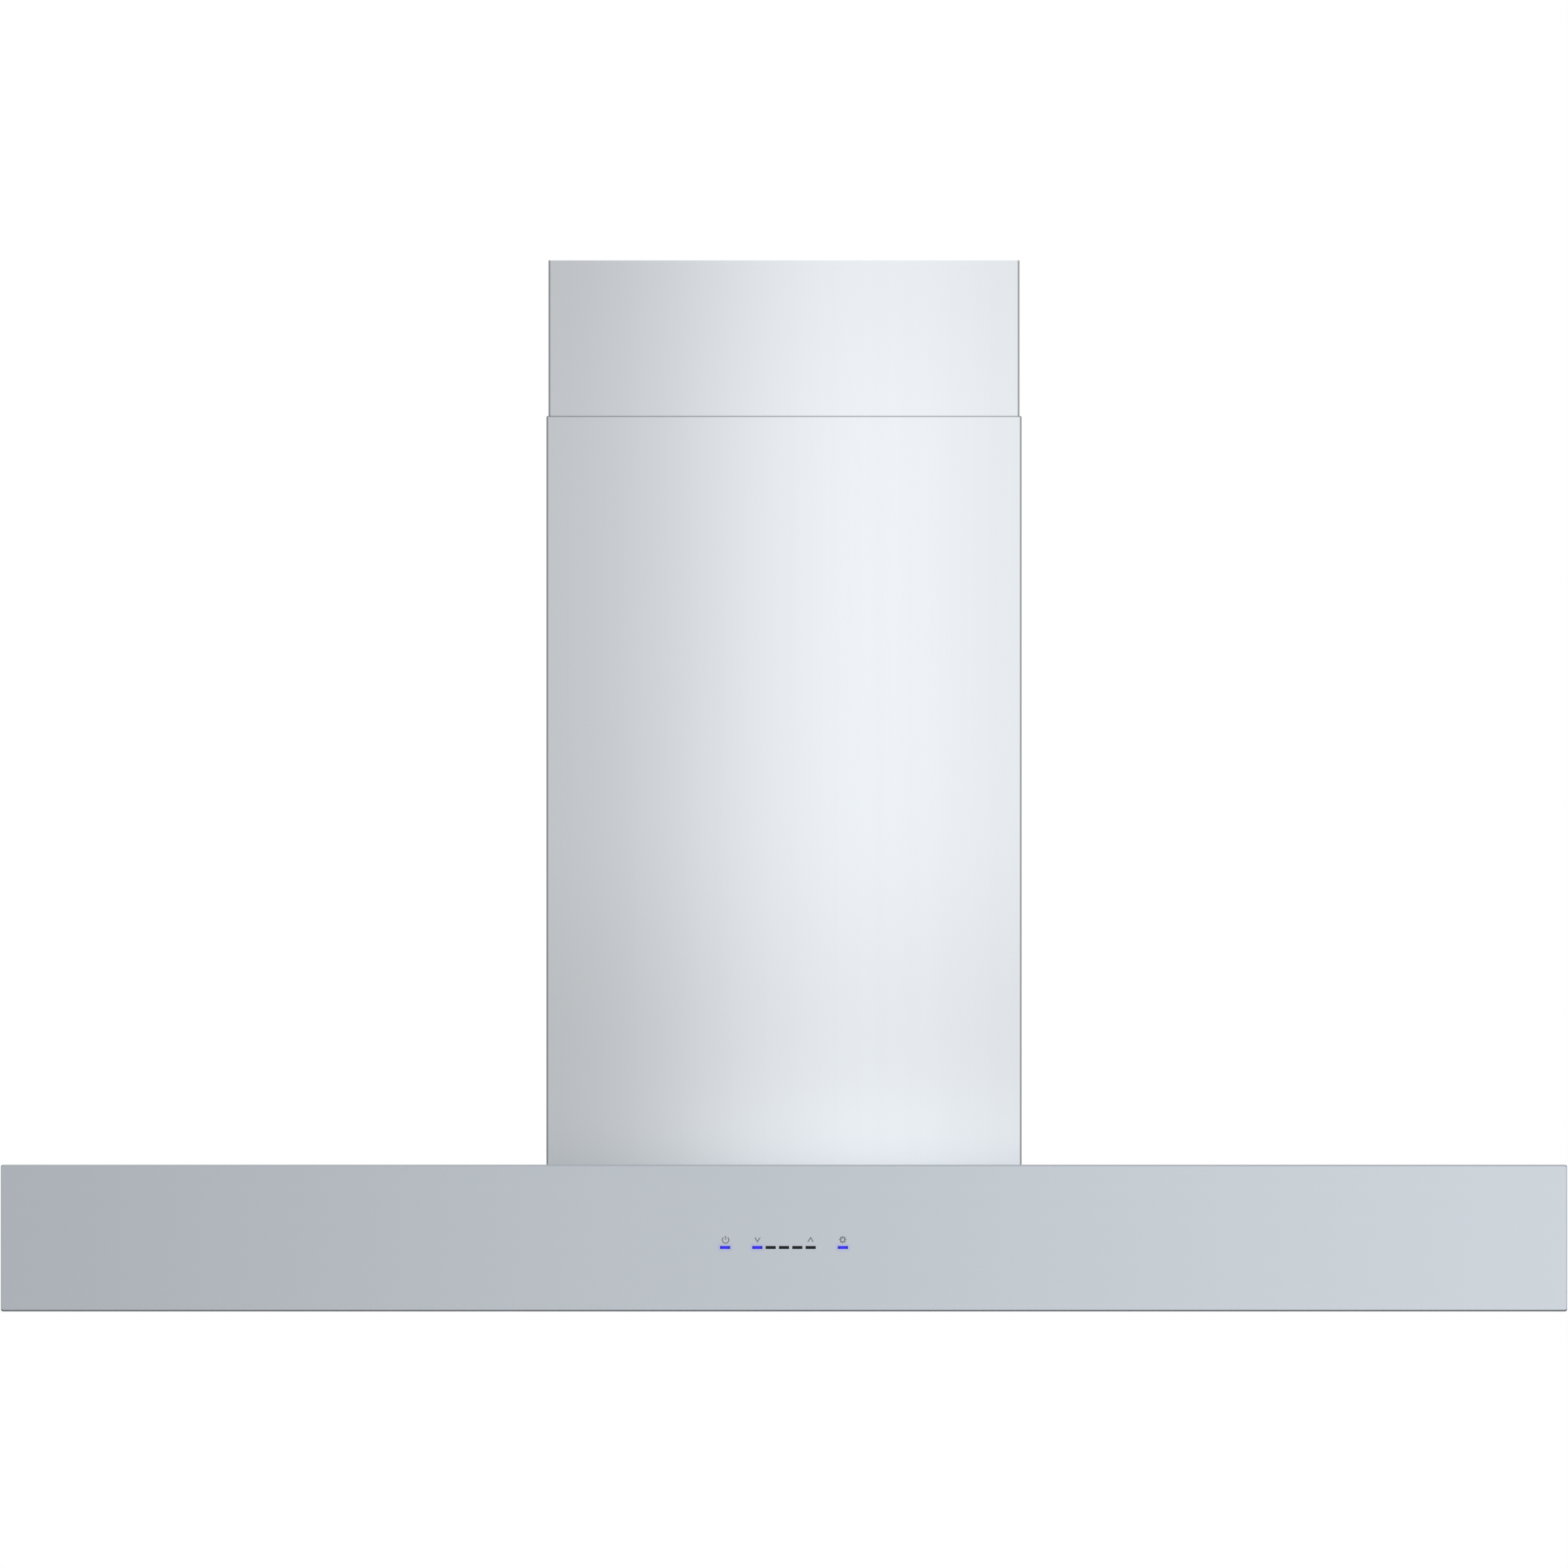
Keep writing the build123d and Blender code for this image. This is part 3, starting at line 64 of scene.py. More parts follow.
# Pieces of the hood by finish
CORNERS = ("front_left", "front_right", "rear_left", "rear_right")
FILTERS = ("left", "centre", "right")
COVER_NODES = (
    "upper_cover_wrap",
    "upper_cover_rear_panel",
    "lower_cover_wrap",
    "lower_cover_rear_panel",
)
FRAME_NODES = (
    "ceiling_plate",
    "upper_braces",
    *[f"upper_post_{corner}" for corner in CORNERS],
    *[f"lower_post_{corner}" for corner in CORNERS],
)
COVER_SCREW_NODES = ("cover_fixing_screws", "upper_cover_screws", "lower_cover_screws")
FRAME_BOLT_NODES = ("upper_post_bolts", "lower_post_bolts", "post_clamp_bolts")
HOUSING_NODES = ("blower_box", "scroll_wrapper", "scroll_side_left", "scroll_side_right", "motor_bracket")
OUTLET_NODES = ("outlet_adapter", "damper_flap_front", "damper_flap_rear")
ELECTRIC_BOX_NODES = ("junction_box", "junction_cover", "control_box", "control_box_cover")
FILTER_FRAME_NODES = [f"filter_frame_{name}" for name in FILTERS]
BAFFLE_NODES = [f"filter_baffles_{name}" for name in FILTERS]
LATCH_NODES = [f"filter_latch_{name}" for name in FILTERS]

# Sockets of a colour Mix node
MIX_SHARE = 0
MIX_FIRST = 6
MIX_SECOND = 7
MIX_COLOUR = 2

# Range that holds most values of a noise texture, and the depth in metres of the surfaces' finest relief
NOISE_LOW = 0.3
NOISE_HIGH = 0.7
RELIEF_DEPTH = 0.0002

# How squarely a face looks along an axis where it stops being flat and where it counts as a bend,
# and how far a bend looks up or down to count as a top or an underside
FLAT_FACING = 0.985
BEND_FACING = 0.94
BEND_TILT = 0.15

# Brushed steel: width of a line of the grain as a share of a broad band's, the lines' share of the
# contrast, scale and reach of the clouds in the gloss, and the depth of painted shade along a soft bend
BAND_SHARE = 0.07
STREAK_SHARE = 0.6
CLOUD_SCALE = 4.0
CLOUD_REACH = 0.02
SOFT_BEND_SHADE = {"Upright": 0.2}

# Zinc coat: tone of the painted shade along a bend, reach of the crystals and of the frost in the gloss, and
# the frost's relief
ZINC_BEND_SHADE = 0.85
SPANGLE_REACH = 0.06
FROST_REACH = 0.04
FROST_RELIEF = 0.08

# Moulded skin: noise range of the dust, its shades of the colour, and its reach in the gloss
DUST_RANGE = (0.35, 0.75)
DUST_SHADES = (0.9, 1.15)
DUST_REACH = (-0.04, 0.06)

# Places of the marks and of the lit windows across the canopy's front, from its middle,
# and how far a lit window's faces reach, in metres
MARK_PLACES = {"power": -0.0398, "slower": -0.0181, "faster": 0.0181, "lamp": 0.0400}
LIT_PLACES = (-0.0401, -0.01814, 0.0401)
LIT_REACH = 0.004

# Half of a control window's width and height and of its evenly lit middle, in metres
WINDOW_HALF_WIDTH = 0.003425
WINDOW_HALF_HEIGHT = 0.001
WINDOW_LIT_HALF = 0.0014

# Light at a lit window's ends, its share of flecks, and the tint and share of its light painted on the steel
# around it
WINDOW_END_GLOW = (0.012, 0.002, 0.40, 1.0)
FLECK_SHARE = 0.2
PAINTED_SPILL_COLOUR = (0.42, 0.42, 0.95, 1.0)
PAINTED_SPILL_SHARE = 0.3

# Printed marks, in metres and degrees: the power ring with its gap and stem, the chevrons and the lamp's sun
POWER_RADIUS = 0.0022
POWER_DROP = 0.0002
POWER_HALF_GAP = 38.0
POWER_STEM = (-0.0001, 0.0027)
POWER_STEPS = 36
CHEVRON_HALF_WIDTH = 0.00175
CHEVRON_FOOT = 0.0015
CHEVRON_TIP = 0.0014
SUN_RADIUS = 0.00142
SUN_STEPS = 48
SUN_RAYS = 8
RAY_START = 0.0017
RAY_END = 0.0026

# Cosine that limits how far a sharp corner of a line is lengthened
MITRE_LIMIT = 0.3

# Radius of a lamp's lens in metres, the share of it that is evenly lit, its light and its gloss
LENS_RADIUS = 0.0259
LENS_CORE = 0.1
LENS_RIM_LIGHT = (0.80, 0.74, 0.66, 1.0)
LENS_CORE_LIGHT = (1.0, 0.97, 0.92, 1.0)
LENS_ROUGHNESS = (0.42, 0.56)

# Power board: its thickness and the height where its parts begin, in metres, and its colours
BOARD_THICKNESS = 0.0016
PARTS_START = 1.01 * BOARD_THICKNESS
LACQUER = (0.012, 0.10, 0.045, 1.0)
LACQUERED_COPPER = (0.03, 0.17, 0.07, 1.0)
TINNED_PAD = (0.55, 0.56, 0.54, 1.0)
PAD_RIM = (0.16, 0.20)

# White of lights and surroundings, the floor's grey, and the share of its radius where it starts to fade
WHITE = (1.0, 1.0, 1.0, 1.0)
FLOOR_GREY = (0.80, 0.80, 0.80, 1.0)
FLOOR_FADE = 0.55

# Softboxes: side, distance, rise above the hood's middle and turn of the first, in metres and degrees
SOFTBOX_SIZE = 2.2
SOFTBOX_REACH = 3.0
SOFTBOX_RISE = 1.8
SOFTBOX_TURN = 45.0

# Cards that the steel mirrors, in metres: the flat ones' sizes and middles, the ring's heights and posts
COVER_CARD_SIZE = (0.92, 1.35)
COVER_CARD_MIDDLE = (-0.04, -0.335, -0.275)
CANOPY_CARD_SIZE = (2.6, 0.95)
CANOPY_CARD_MIDDLE = (-0.1, -0.80, -0.675)
RING_HEIGHTS = (-1.5, 1.3)
RING_POSTS = 96
UPWARDS = (0.0, 0.0, 1.0)
TOWARDS_HOOD = (0.0, 1.0, 0.0)

# Edges over which the cards fade: axis, place where nothing shows and place where all shows, in metres
COVER_CARD_EDGES = (("X", -0.50, -0.28), ("X", 0.42, 0.30), ("Z", 0.40, 0.28), ("Z", -0.95, -0.66))
CANOPY_CARD_EDGES = (("X", -1.3, -0.8), ("Z", -0.20, -0.40), ("Z", -1.15, -0.95))
RING_EDGES = (("Z", 1.3, 0.6), ("Z", -1.5, -1.2))

# Shades of the covers' card: the places in metres over which each comes on, and its level
LEFT_SHADE = (0.06, -0.17)
RIGHT_SHADE = (0.08, 0.17)
RIGHT_LEVEL = 0.90
TOP_SHADE = (-0.12, 0.02)
TOP_LEVEL = 0.95
DIP_FROM_ABOVE = (-0.38, -0.51)
DIP_FROM_BELOW = (-0.60, -0.54)
DIP_LEVEL = 0.93
FOOT_FROM_ABOVE = (-0.56, -0.615)
FOOT_FROM_BELOW = (-0.65, -0.62)
FOOT_ACROSS = (-0.15, 0.04)
FOOT_LIFT = 0.14

# Half of the reach of the canopy card's shade in metres, and the ring's shades as shares of its radius
CANOPY_SHADE_REACH = 0.53
RING_FRONT = (0.2, -0.8)
RING_LEFT = (-0.2, -0.9)
RING_LEFT_LEVEL = 0.78


class HoodFinish(bpy.types.PropertyGroup):
    """Colours and grain of the hood's materials."""

    # Lighter than the canopy's steel of the same kind: the difference is a painted highlight for the covers'
    # brighter reflections
    cover_colour: FloatVectorProperty(
        name="Cover steel",
        description="Colour of the two chimney covers",
        subtype="COLOR",
        size=3,
        default=(0.734, 0.766, 0.796),
        min=0.0,
        max=1.0,
    )
    canopy_colour: FloatVectorProperty(
        name="Canopy steel",
        description="Colour of the box canopy",
        subtype="COLOR",
        size=3,
        default=(0.618, 0.665, 0.713),
        min=0.0,
        max=1.0,
    )
    panel_colour: FloatVectorProperty(
        name="Panel steel",
        description="Colour of the underside panel and the lamp cups",
        subtype="COLOR",
        size=3,
        default=(0.57, 0.595, 0.615),
        min=0.0,
        max=1.0,
    )
    filter_colour: FloatVectorProperty(
        name="Filter steel",
        description="Colour of the baffle filters and their latches",
        subtype="COLOR",
        size=3,
        default=(0.63, 0.64, 0.65),
        min=0.0,
        max=1.0,
    )
    zinc_colour: FloatVectorProperty(
        name="Galvanised steel",
        description="Colour of the frame, the blower housing and the boxes",
        subtype="COLOR",
        size=3,
        default=(0.56, 0.58, 0.60),
        min=0.0,
        max=1.0,
    )
    grain_width: FloatProperty(
        name="Grain width",
        description="Width of one line of the brushed grain",
        default=0.0007,
        min=0.0002,
        unit="LENGTH",
    )
    grain_length: FloatProperty(
        name="Grain length",
        description="Length of one line of the brushed grain",
        default=0.45,
        min=0.01,
        unit="LENGTH",
    )


class HoodControls(bpy.types.PropertyGroup):
    """Marks and lit windows in the canopy's front."""

    mark_rise: FloatProperty(
        name="Mark rise",
        description="Height of the marks' middle above the canopy's bottom",
        default=0.0489,
        unit="LENGTH",
    )
    window_rise: FloatProperty(
        name="Window rise",
        description="Height of the windows' middle above the canopy's bottom",
        default=0.0436,
        unit="LENGTH",
    )
    mark_stroke: FloatProperty(
        name="Mark stroke",
        description="Width of the marks' lines",
        default=0.00068,
        unit="LENGTH",
    )
    mark_proud: FloatProperty(
        name="Mark thickness",
        description="How far the marks' ink stands off the steel",
        default=0.00006,
        unit="LENGTH",
    )
    mark_colour: FloatVectorProperty(
        name="Mark grey",
        description="Colour of the printed marks",
        subtype="COLOR",
        size=3,
        default=(0.16, 0.164, 0.172),
        min=0.0,
        max=1.0,
    )
    glow_colour: FloatVectorProperty(
        name="Window blue",
        description="Light of the lit windows",
        subtype="COLOR",
        size=3,
        default=(0.030, 0.016, 0.95),
        min=0.0,
        max=1.0,
    )
    # Reach of the windows' light painted into the steel's colour around them
    spill_reach: FloatProperty(
        name="Spill reach",
        description="How far a lit window's light spreads over the steel around it",
        default=0.003,
        unit="LENGTH",
    )


class HoodLamps(bpy.types.PropertyGroup):
    """Lamps in the underside panel."""

    lens_colour: FloatVectorProperty(
        name="Lens white",
        description="Colour of the frosted lenses",
        subtype="COLOR",
        size=3,
        default=(0.86, 0.86, 0.84),
        min=0.0,
        max=1.0,
    )
    lens_glow: FloatProperty(
        name="Lens glow",
        description="Strength of the lenses' own light",
        default=0.35,
        min=0.0,
    )


class HoodStudio(bpy.types.PropertyGroup):
    """Camera, floor and light."""

    lens: FloatProperty(
        name="Lens",
        description="Focal length of the long lens that keeps the front square",
        default=1500.0,
        unit="CAMERA",
    )
    picture_width: FloatProperty(
        name="Picture width",
        description="Width of the view at the canopy's front",
        default=1.0679,
        unit="LENGTH",
    )
    floor_radius: FloatProperty(
        name="Floor radius",
        description="Radius of the pale floor",
        default=4.0,
        unit="LENGTH",
    )
    floor_drop: FloatProperty(
        name="Floor drop",
        description="Distance from the hood's underside to the floor",
        default=0.80,
        unit="LENGTH",
    )
    floor_lift: FloatProperty(
        name="Floor lift",
        description="Light added to the floor so that it reads as white where no shadow falls",
        default=0.2,
        min=0.0,
        max=1.0,
    )
    sky_level: FloatProperty(
        name="Sky level",
        description="Level of the white surroundings as plain light",
        default=0.55,
        min=0.0,
        max=1.0,
    )
    lamp_power: FloatProperty(
        name="Softbox power",
        description="Power of each softbox",
        default=28.0,
        unit="POWER",
    )
    lamp_count: IntProperty(
        name="Softboxes",
        description="Number of softboxes in a ring round the hood",
        default=4,
        min=1,
    )
    cover_light: FloatProperty(
        name="Cover light",
        description="Level of the card that the covers' front mirrors",
        default=1.145,
        min=0.0,
    )
    cover_shade: FloatProperty(
        name="Cover shade",
        description="How much darker the covers' card gets towards the left",
        default=0.42,
        min=0.0,
        max=1.0,
    )
    canopy_shade: FloatProperty(
        name="Canopy shade",
        description="How much darker the canopy's card gets towards the left",
        default=0.37,
        min=0.0,
        max=1.0,
    )
    ring_radius: FloatProperty(
        name="Ring radius",
        description="Radius of the grey ring that the hood's sides mirror",
        default=1.4,
        unit="LENGTH",
    )
    ring_level: FloatProperty(
        name="Ring level",
        description="Level of the grey ring at the hood's sides and back",
        default=0.58,
        min=0.0,
        max=1.0,
    )


def paint(colour, shade=1.0):
    """A colour for a socket, lighter or darker by a share."""
    return (colour[0] * shade, colour[1] * shade, colour[2] * shade, 1.0)


def new_object(name, mesh):
    """Turns an edited mesh into an object of the scene."""
    data = bpy.data.meshes.new(name)
    mesh.to_mesh(data)
    mesh.free()
    made = bpy.data.objects.new(name, data)
    bpy.context.scene.collection.objects.link(made)
    return made


# Node helpers
def place(tree, kind, inputs=None, **settings):
    """Adds a node with its settings, and sets or links each input that is given."""
    node = tree.nodes.new(kind)
    for name, value in settings.items():
        setattr(node, name, value)
    for key, value in (inputs or {}).items():
        if isinstance(value, bpy.types.NodeSocket):
            tree.links.new(value, node.inputs[key])
        else:
            node.inputs[key].default_value = value
    return node


def join(tree, node, sockets):
    """Links values to a node's inputs by their names."""
    for name, value in sockets.items():
        tree.links.new(value, node.inputs[name])


def reckon(tree, operation, first, second=0.0):
    """Sum, product or comparison of two values."""
    return place(tree, "ShaderNodeMath", {0: first, 1: second}, operation=operation).outputs[0]


def product(tree, first, *others):
    """Product of several values."""
    for other in others:
        first = reckon(tree, "MULTIPLY", first, other)
    return first


def spread(tree, value, low, high, to_low, to_high, curve="LINEAR"):
    """A value carried from one range to another and held there."""
    inputs = {"Value": value, "From Min": low, "From Max": high, "To Min": to_low, "To Max": to_high}
    return place(tree, "ShaderNodeMapRange", inputs, interpolation_type=curve).outputs["Result"]


def ease(tree, value, reach, levels=(0.0, 1.0)):
    """A smooth change between two levels over a reach of a value."""
    return spread(tree, value, *reach, *levels, "SMOOTHSTEP")


def sway(tree, grain, middle, reach):
    """A value that a noise carries to either side of a middle."""
    return spread(tree, grain, NOISE_LOW, NOISE_HIGH, middle - reach, middle + reach)


def tinted(tree, share, first, second, way="MIX"):
    """Two colours mixed by a share."""
    inputs = {MIX_SHARE: share, MIX_FIRST: first, MIX_SECOND: second}
    node = place(tree, "ShaderNodeMix", inputs, data_type="RGBA", blend_type=way)
    return node.outputs[MIX_COLOUR]


def own_place(tree):
    """Place of a point in its piece's own frame."""
    return place(tree, "ShaderNodeTexCoord").outputs["Object"]


def noise(tree, where, scale, detail, roughness):
    """Value of a noise texture."""
    inputs = {"Vector": where, "Scale": scale, "Detail": detail, "Roughness": roughness}
    return place(tree, "ShaderNodeTexNoise", inputs).outputs[0]


def relief(tree, height, strength):
    """A normal that follows a faint relief."""
    inputs = {"Strength": strength, "Distance": RELIEF_DEPTH, "Height": height}
    return place(tree, "ShaderNodeBump", inputs).outputs["Normal"]


def new_group(name, inputs, outputs):
    """Starts a shader node group, and returns it with its two ends."""
    group = bpy.data.node_groups.new(name, "ShaderNodeTree")
    for label, kind, default in inputs:
        socket = group.interface.new_socket(label, in_out="INPUT", socket_type=kind)
        socket.default_value = default
    for label in outputs:
        group.interface.new_socket(label, in_out="OUTPUT", socket_type="NodeSocketFloat")
    start = group.nodes.new("NodeGroupInput")
    end = group.nodes.new("NodeGroupOutput")
    return group, start, end


def use(tree, name, inputs=None):
    """Places a node group in a material with the material's own values."""
    return place(tree, "ShaderNodeGroup", inputs, node_tree=bpy.data.node_groups[name])


def new_material(name, values):
    """A material with one Principled shader, whose plain values are set on its own sockets."""
    material = bpy.data.materials.new(name)
    material.use_nodes = True
    tree = material.node_tree
    shader = tree.nodes["Principled BSDF"]
    for socket, value in values.items():
        shader.inputs[socket].default_value = value
    return material, tree, shader


# Effects that several finishes share
def build_brushed_grain():
    """Fine lines and broad faint bands along one direction."""
    inputs = [("Stretch", "NodeSocketVector", (1.0, 1.0, 1.0)), ("Band share", "NodeSocketFloat", 0.1)]
    group, start, end = new_group("Brushed grain", inputs, ("Streaks", "Bands"))
    stretch = {0: own_place(group), 1: start.outputs["Stretch"]}
    fine = place(group, "ShaderNodeVectorMath", stretch, operation="MULTIPLY").outputs[0]
    widening = {0: fine, "Scale": start.outputs["Band share"]}
    broad = place(group, "ShaderNodeVectorMath", widening, operation="SCALE").outputs[0]
    streaks = noise(group, fine, scale=1.0, detail=4.0, roughness=0.65)
    bands = noise(group, broad, scale=1.0, detail=1.0, roughness=0.5)
    join(group, end, {"Streaks": streaks, "Bands": bands})


def build_painted_bend_shade():
    """Masks of the rounded bends where shade is painted: along upright edges, along tops and along
    undersides.
    """
    group, _, end = new_group("Bend line", [], ("Upright", "Top", "Under"))
    facing = place(group, "ShaderNodeTexCoord").outputs["Normal"]
    parts = place(group, "ShaderNodeSeparateXYZ", {0: facing})
    sizes = [reckon(group, "ABSOLUTE", parts.outputs[axis]) for axis in "XYZ"]
    largest = reckon(group, "MAXIMUM", reckon(group, "MAXIMUM", sizes[0], sizes[1]), sizes[2])
    bend = spread(group, largest, FLAT_FACING, BEND_FACING, 0.0, 1.0)
    sides = {
        "Upright": reckon(group, "LESS_THAN", sizes[2], BEND_TILT),
        "Top": reckon(group, "GREATER_THAN", parts.outputs["Z"], BEND_TILT),
        "Under": reckon(group, "LESS_THAN", parts.outputs["Z"], -BEND_TILT),
    }
    join(group, end, {side: product(group, bend, mask) for side, mask in sides.items()})


def build_lit_reach():
    """Distance from the nearest lit window: across from its middle, and out from its rim."""
    group, _, end = new_group("Lit reach", [], ("Across", "Away"))
    low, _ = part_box("canopy_shell")
    rise = low.z + bpy.context.scene.hood_controls.window_rise
    where = place(group, "ShaderNodeSeparateXYZ", {0: own_place(group)}).outputs
    offsets = [reckon(group, "ABSOLUTE", reckon(group, "SUBTRACT", where["X"], x)) for x in LIT_PLACES]
    across = reckon(group, "MINIMUM", reckon(group, "MINIMUM", offsets[0], offsets[1]), offsets[2])
    height = reckon(group, "ABSOLUTE", reckon(group, "SUBTRACT", where["Z"], rise))
    beside = reckon(group, "MAXIMUM", reckon(group, "SUBTRACT", across, WINDOW_HALF_WIDTH), 0.0)
    beyond = reckon(group, "MAXIMUM", reckon(group, "SUBTRACT", height, WINDOW_HALF_HEIGHT), 0.0)
    behind = reckon(group, "MAXIMUM", reckon(group, "SUBTRACT", where["Y"], low.y), 0.0)
    away = place(group, "ShaderNodeCombineXYZ", {"X": beside, "Y": behind, "Z": beyond})
    length = place(group, "ShaderNodeVectorMath", {0: away.outputs[0]}, operation="LENGTH")
    join(group, end, {"Across": across, "Away": length.outputs["Value"]})


def build_cloudy_polish():
    """Wide soft clouds left by handling and polishing."""
    inputs = [("Scale", "NodeSocketFloat", 5.0)]
    group, start, end = new_group("Cloudy polish", inputs, ("Cloud",))
    cloud = noise(group, own_place(group), start.outputs["Scale"], detail=3.0, roughness=0.55)
    join(group, end, {"Cloud": cloud})


def build_zinc_spangle():
    """Crystals of a galvanised coat, each with its own grey, and a fine frost."""
    inputs = [("Scale", "NodeSocketFloat", 90.0)]
    group, start, end = new_group("Zinc spangle", inputs, ("Spangle", "Frost"))
    where = own_place(group)
    crystals = {"Vector": where, "Scale": start.outputs["Scale"], "Randomness": 1.0}
    cells = place(group, "ShaderNodeTexVoronoi", crystals)
    grey = place(group, "ShaderNodeSeparateColor", {0: cells.outputs["Color"]})
    frost = noise(group, where, scale=900.0, detail=2.0, roughness=0.6)
    join(group, end, {"Spangle": grey.outputs[0], "Frost": frost})


def build_moulded_skin():
    """Fine pebbled skin of moulded, sprayed or rubbery surfaces, and dust on it."""
    inputs = [("Scale", "NodeSocketFloat", 1500.0)]
    group, start, end = new_group("Moulded skin", inputs, ("Pebble", "Dust"))
    where = own_place(group)
    pebble = noise(group, where, start.outputs["Scale"], detail=2.0, roughness=0.5)
    dust = noise(group, where, scale=24.0, detail=4.0, roughness=0.6)
    join(group, end, {"Pebble": pebble, "Dust": dust})


# Finishes
def brushed_steel(name, colour, stretch, roughness, lines, contrast=0.03, band_depth=0.03, painted_spill=None):
    """Satin steel with grain along one direction and painted shade along its bends."""
    material, tree, shader = new_material(name, {"Metallic": 1.0})
    grain = use(tree, "Brushed grain", {"Stretch": stretch, "Band share": BAND_SHARE})
    streaks = grain.outputs["Streaks"]
    cloud = use(tree, "Cloudy polish", {"Scale": CLOUD_SCALE})
    bends = use(tree, "Bend line")
    tone = sway(tree, streaks, 1.0, STREAK_SHARE * contrast)
    band = sway(tree, grain.outputs["Bands"], 1.0, band_depth)
    # Painted shade: the base colour darkens along the bends by each side's depth
    edges = [spread(tree, bends.outputs[side], 0.0, 1.0, 1.0, 1.0 - depth) for side, depth in lines.items()]
    base = tinted(tree, 1.0, paint(colour), product(tree, tone, band, *edges), "MULTIPLY")
    # Painted light: the lit windows' blue glow is tinted into the steel's colour around them
    if painted_spill:
        reach = use(tree, "Lit reach")
        far = bpy.context.scene.hood_controls.spill_reach
        share = ease(tree, reach.outputs["Away"], (0.0, far), (PAINTED_SPILL_SHARE, 0.0))
        base = tinted(tree, share, base, painted_spill)
    gloss = sway(tree, streaks, roughness, contrast)
    rough = reckon(tree, "ADD", gloss, sway(tree, cloud.outputs["Cloud"], 0.0, CLOUD_REACH))
    normal = relief(tree, streaks, contrast)
    join(tree, shader, {"Base Color": base, "Roughness": rough, "Normal": normal})
    return material


def zinc_steel(name, colour, roughness, scale, contrast):
    """Zinc-coated steel with a spangle or a fine frost."""
    material, tree, shader = new_material(name, {"Metallic": 1.0})
    zinc = use(tree, "Zinc spangle", {"Scale": scale})
    spangle = zinc.outputs["Spangle"]
    frost = zinc.outputs["Frost"]
    bends = use(tree, "Bend line")
    tone = spread(tree, spangle, 0.0, 1.0, 1.0 - contrast, 1.0 + contrast)
    # Painted shade: the base colour darkens along the upright bends
    edge = spread(tree, bends.outputs["Upright"], 0.0, 1.0, 1.0, ZINC_BEND_SHADE)
    base = tinted(tree, 1.0, paint(colour), product(tree, tone, edge), "MULTIPLY")
    gloss = spread(tree, spangle, 0.0, 1.0, roughness - SPANGLE_REACH, roughness + SPANGLE_REACH)
    rough = reckon(tree, "ADD", gloss, sway(tree, frost, 0.0, FROST_REACH))
    normal = relief(tree, frost, FROST_RELIEF)
    join(tree, shader, {"Base Color": base, "Roughness": rough, "Normal": normal})
    return material


def moulded(name, colour, roughness, scale, depth, values=None):
    """Plastic, rubber, enamel or ink with a pebbled skin and a little dust."""
    material, tree, shader = new_material(name, values or {})
    skin = use(tree, "Moulded skin", {"Scale": scale})
    dust = skin.outputs["Dust"]
    share = spread(tree, dust, *DUST_RANGE, 0.0, 1.0)
    base = tinted(tree, share, *[paint(colour, shade) for shade in DUST_SHADES])
    rough = spread(tree, dust, NOISE_LOW, NOISE_HIGH, *[roughness + change for change in DUST_REACH])
    normal = relief(tree, skin.outputs["Pebble"], depth)
    join(tree, shader, {"Base Color": base, "Roughness": rough, "Normal": normal})
    return material


def lit_window(name, colour):
    """Window with a lamp behind its middle, darker towards its ends."""
    values = {
        "Base Color": (0.01, 0.01, 0.04, 1.0),
        "Roughness": 0.5,
        "Specular IOR Level": 0.2,
        "Emission Strength": 1.0,
    }
    material, tree, shader = new_material(name, values)
    reach = use(tree, "Lit reach")
    skin = use(tree, "Moulded skin", {"Scale": 700.0})
    end = ease(tree, reach.outputs["Across"], (WINDOW_LIT_HALF, WINDOW_HALF_WIDTH))
    fleck = spread(tree, skin.outputs["Pebble"], NOISE_LOW, NOISE_HIGH, 0.0, FLECK_SHARE)
    glow = tinted(tree, reckon(tree, "ADD", end, fleck), paint(colour), WINDOW_END_GLOW)
    join(tree, shader, {"Emission Color": glow})
    return material


def frosted_lens(name, colour, glow):
    """Frosted lens, brighter in its middle where the lamp stands behind it."""
    values = {"Base Color": paint(colour), "Emission Strength": glow, "Coat Weight": 0.2}
    material, tree, shader = new_material(name, values)
    low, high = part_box("lamp_lenses")
    folded = place(tree, "ShaderNodeVectorMath", {0: own_place(tree)}, operation="ABSOLUTE")
    middle = (high.x - LENS_RADIUS, high.y - LENS_RADIUS, abs(low.z))
    away = place(tree, "ShaderNodeVectorMath", {0: folded.outputs[0], 1: middle}, operation="DISTANCE")
    share = ease(tree, away.outputs["Value"], (LENS_CORE * LENS_RADIUS, LENS_RADIUS), (1.0, 0.0))
    light = tinted(tree, share, LENS_RIM_LIGHT, LENS_CORE_LIGHT)
    skin = use(tree, "Moulded skin", {"Scale": 1800.0})
    rough = spread(tree, skin.outputs["Pebble"], NOISE_LOW, NOISE_HIGH, *LENS_ROUGHNESS)
    join(tree, shader, {"Emission Color": light, "Roughness": rough})
    return material


def circuit_board(name):
    """Green lacquer over copper tracks, with tinned pads."""
    material, tree, shader = new_material(name, {"Roughness": 0.35, "Coat Weight": 0.3})
    where = own_place(tree)
    tracks = place(
        tree,
        "ShaderNodeTexBrick",
        {"Vector": where, "Scale": 90.0, "Mortar Size": 0.06, "Brick Width": 1.7, "Row Height": 0.4},
    )
    pads = place(tree, "ShaderNodeTexVoronoi", {"Vector": where, "Scale": 260.0, "Randomness": 0.25})
    dot = spread(tree, pads.outputs["Distance"], *PAD_RIM, 1.0, 0.0)
    lacquer = tinted(tree, tracks.outputs["Fac"], LACQUER, LACQUERED_COPPER)
    join(tree, shader, {"Base Color": tinted(tree, dot, lacquer, TINNED_PAD)})
    return material


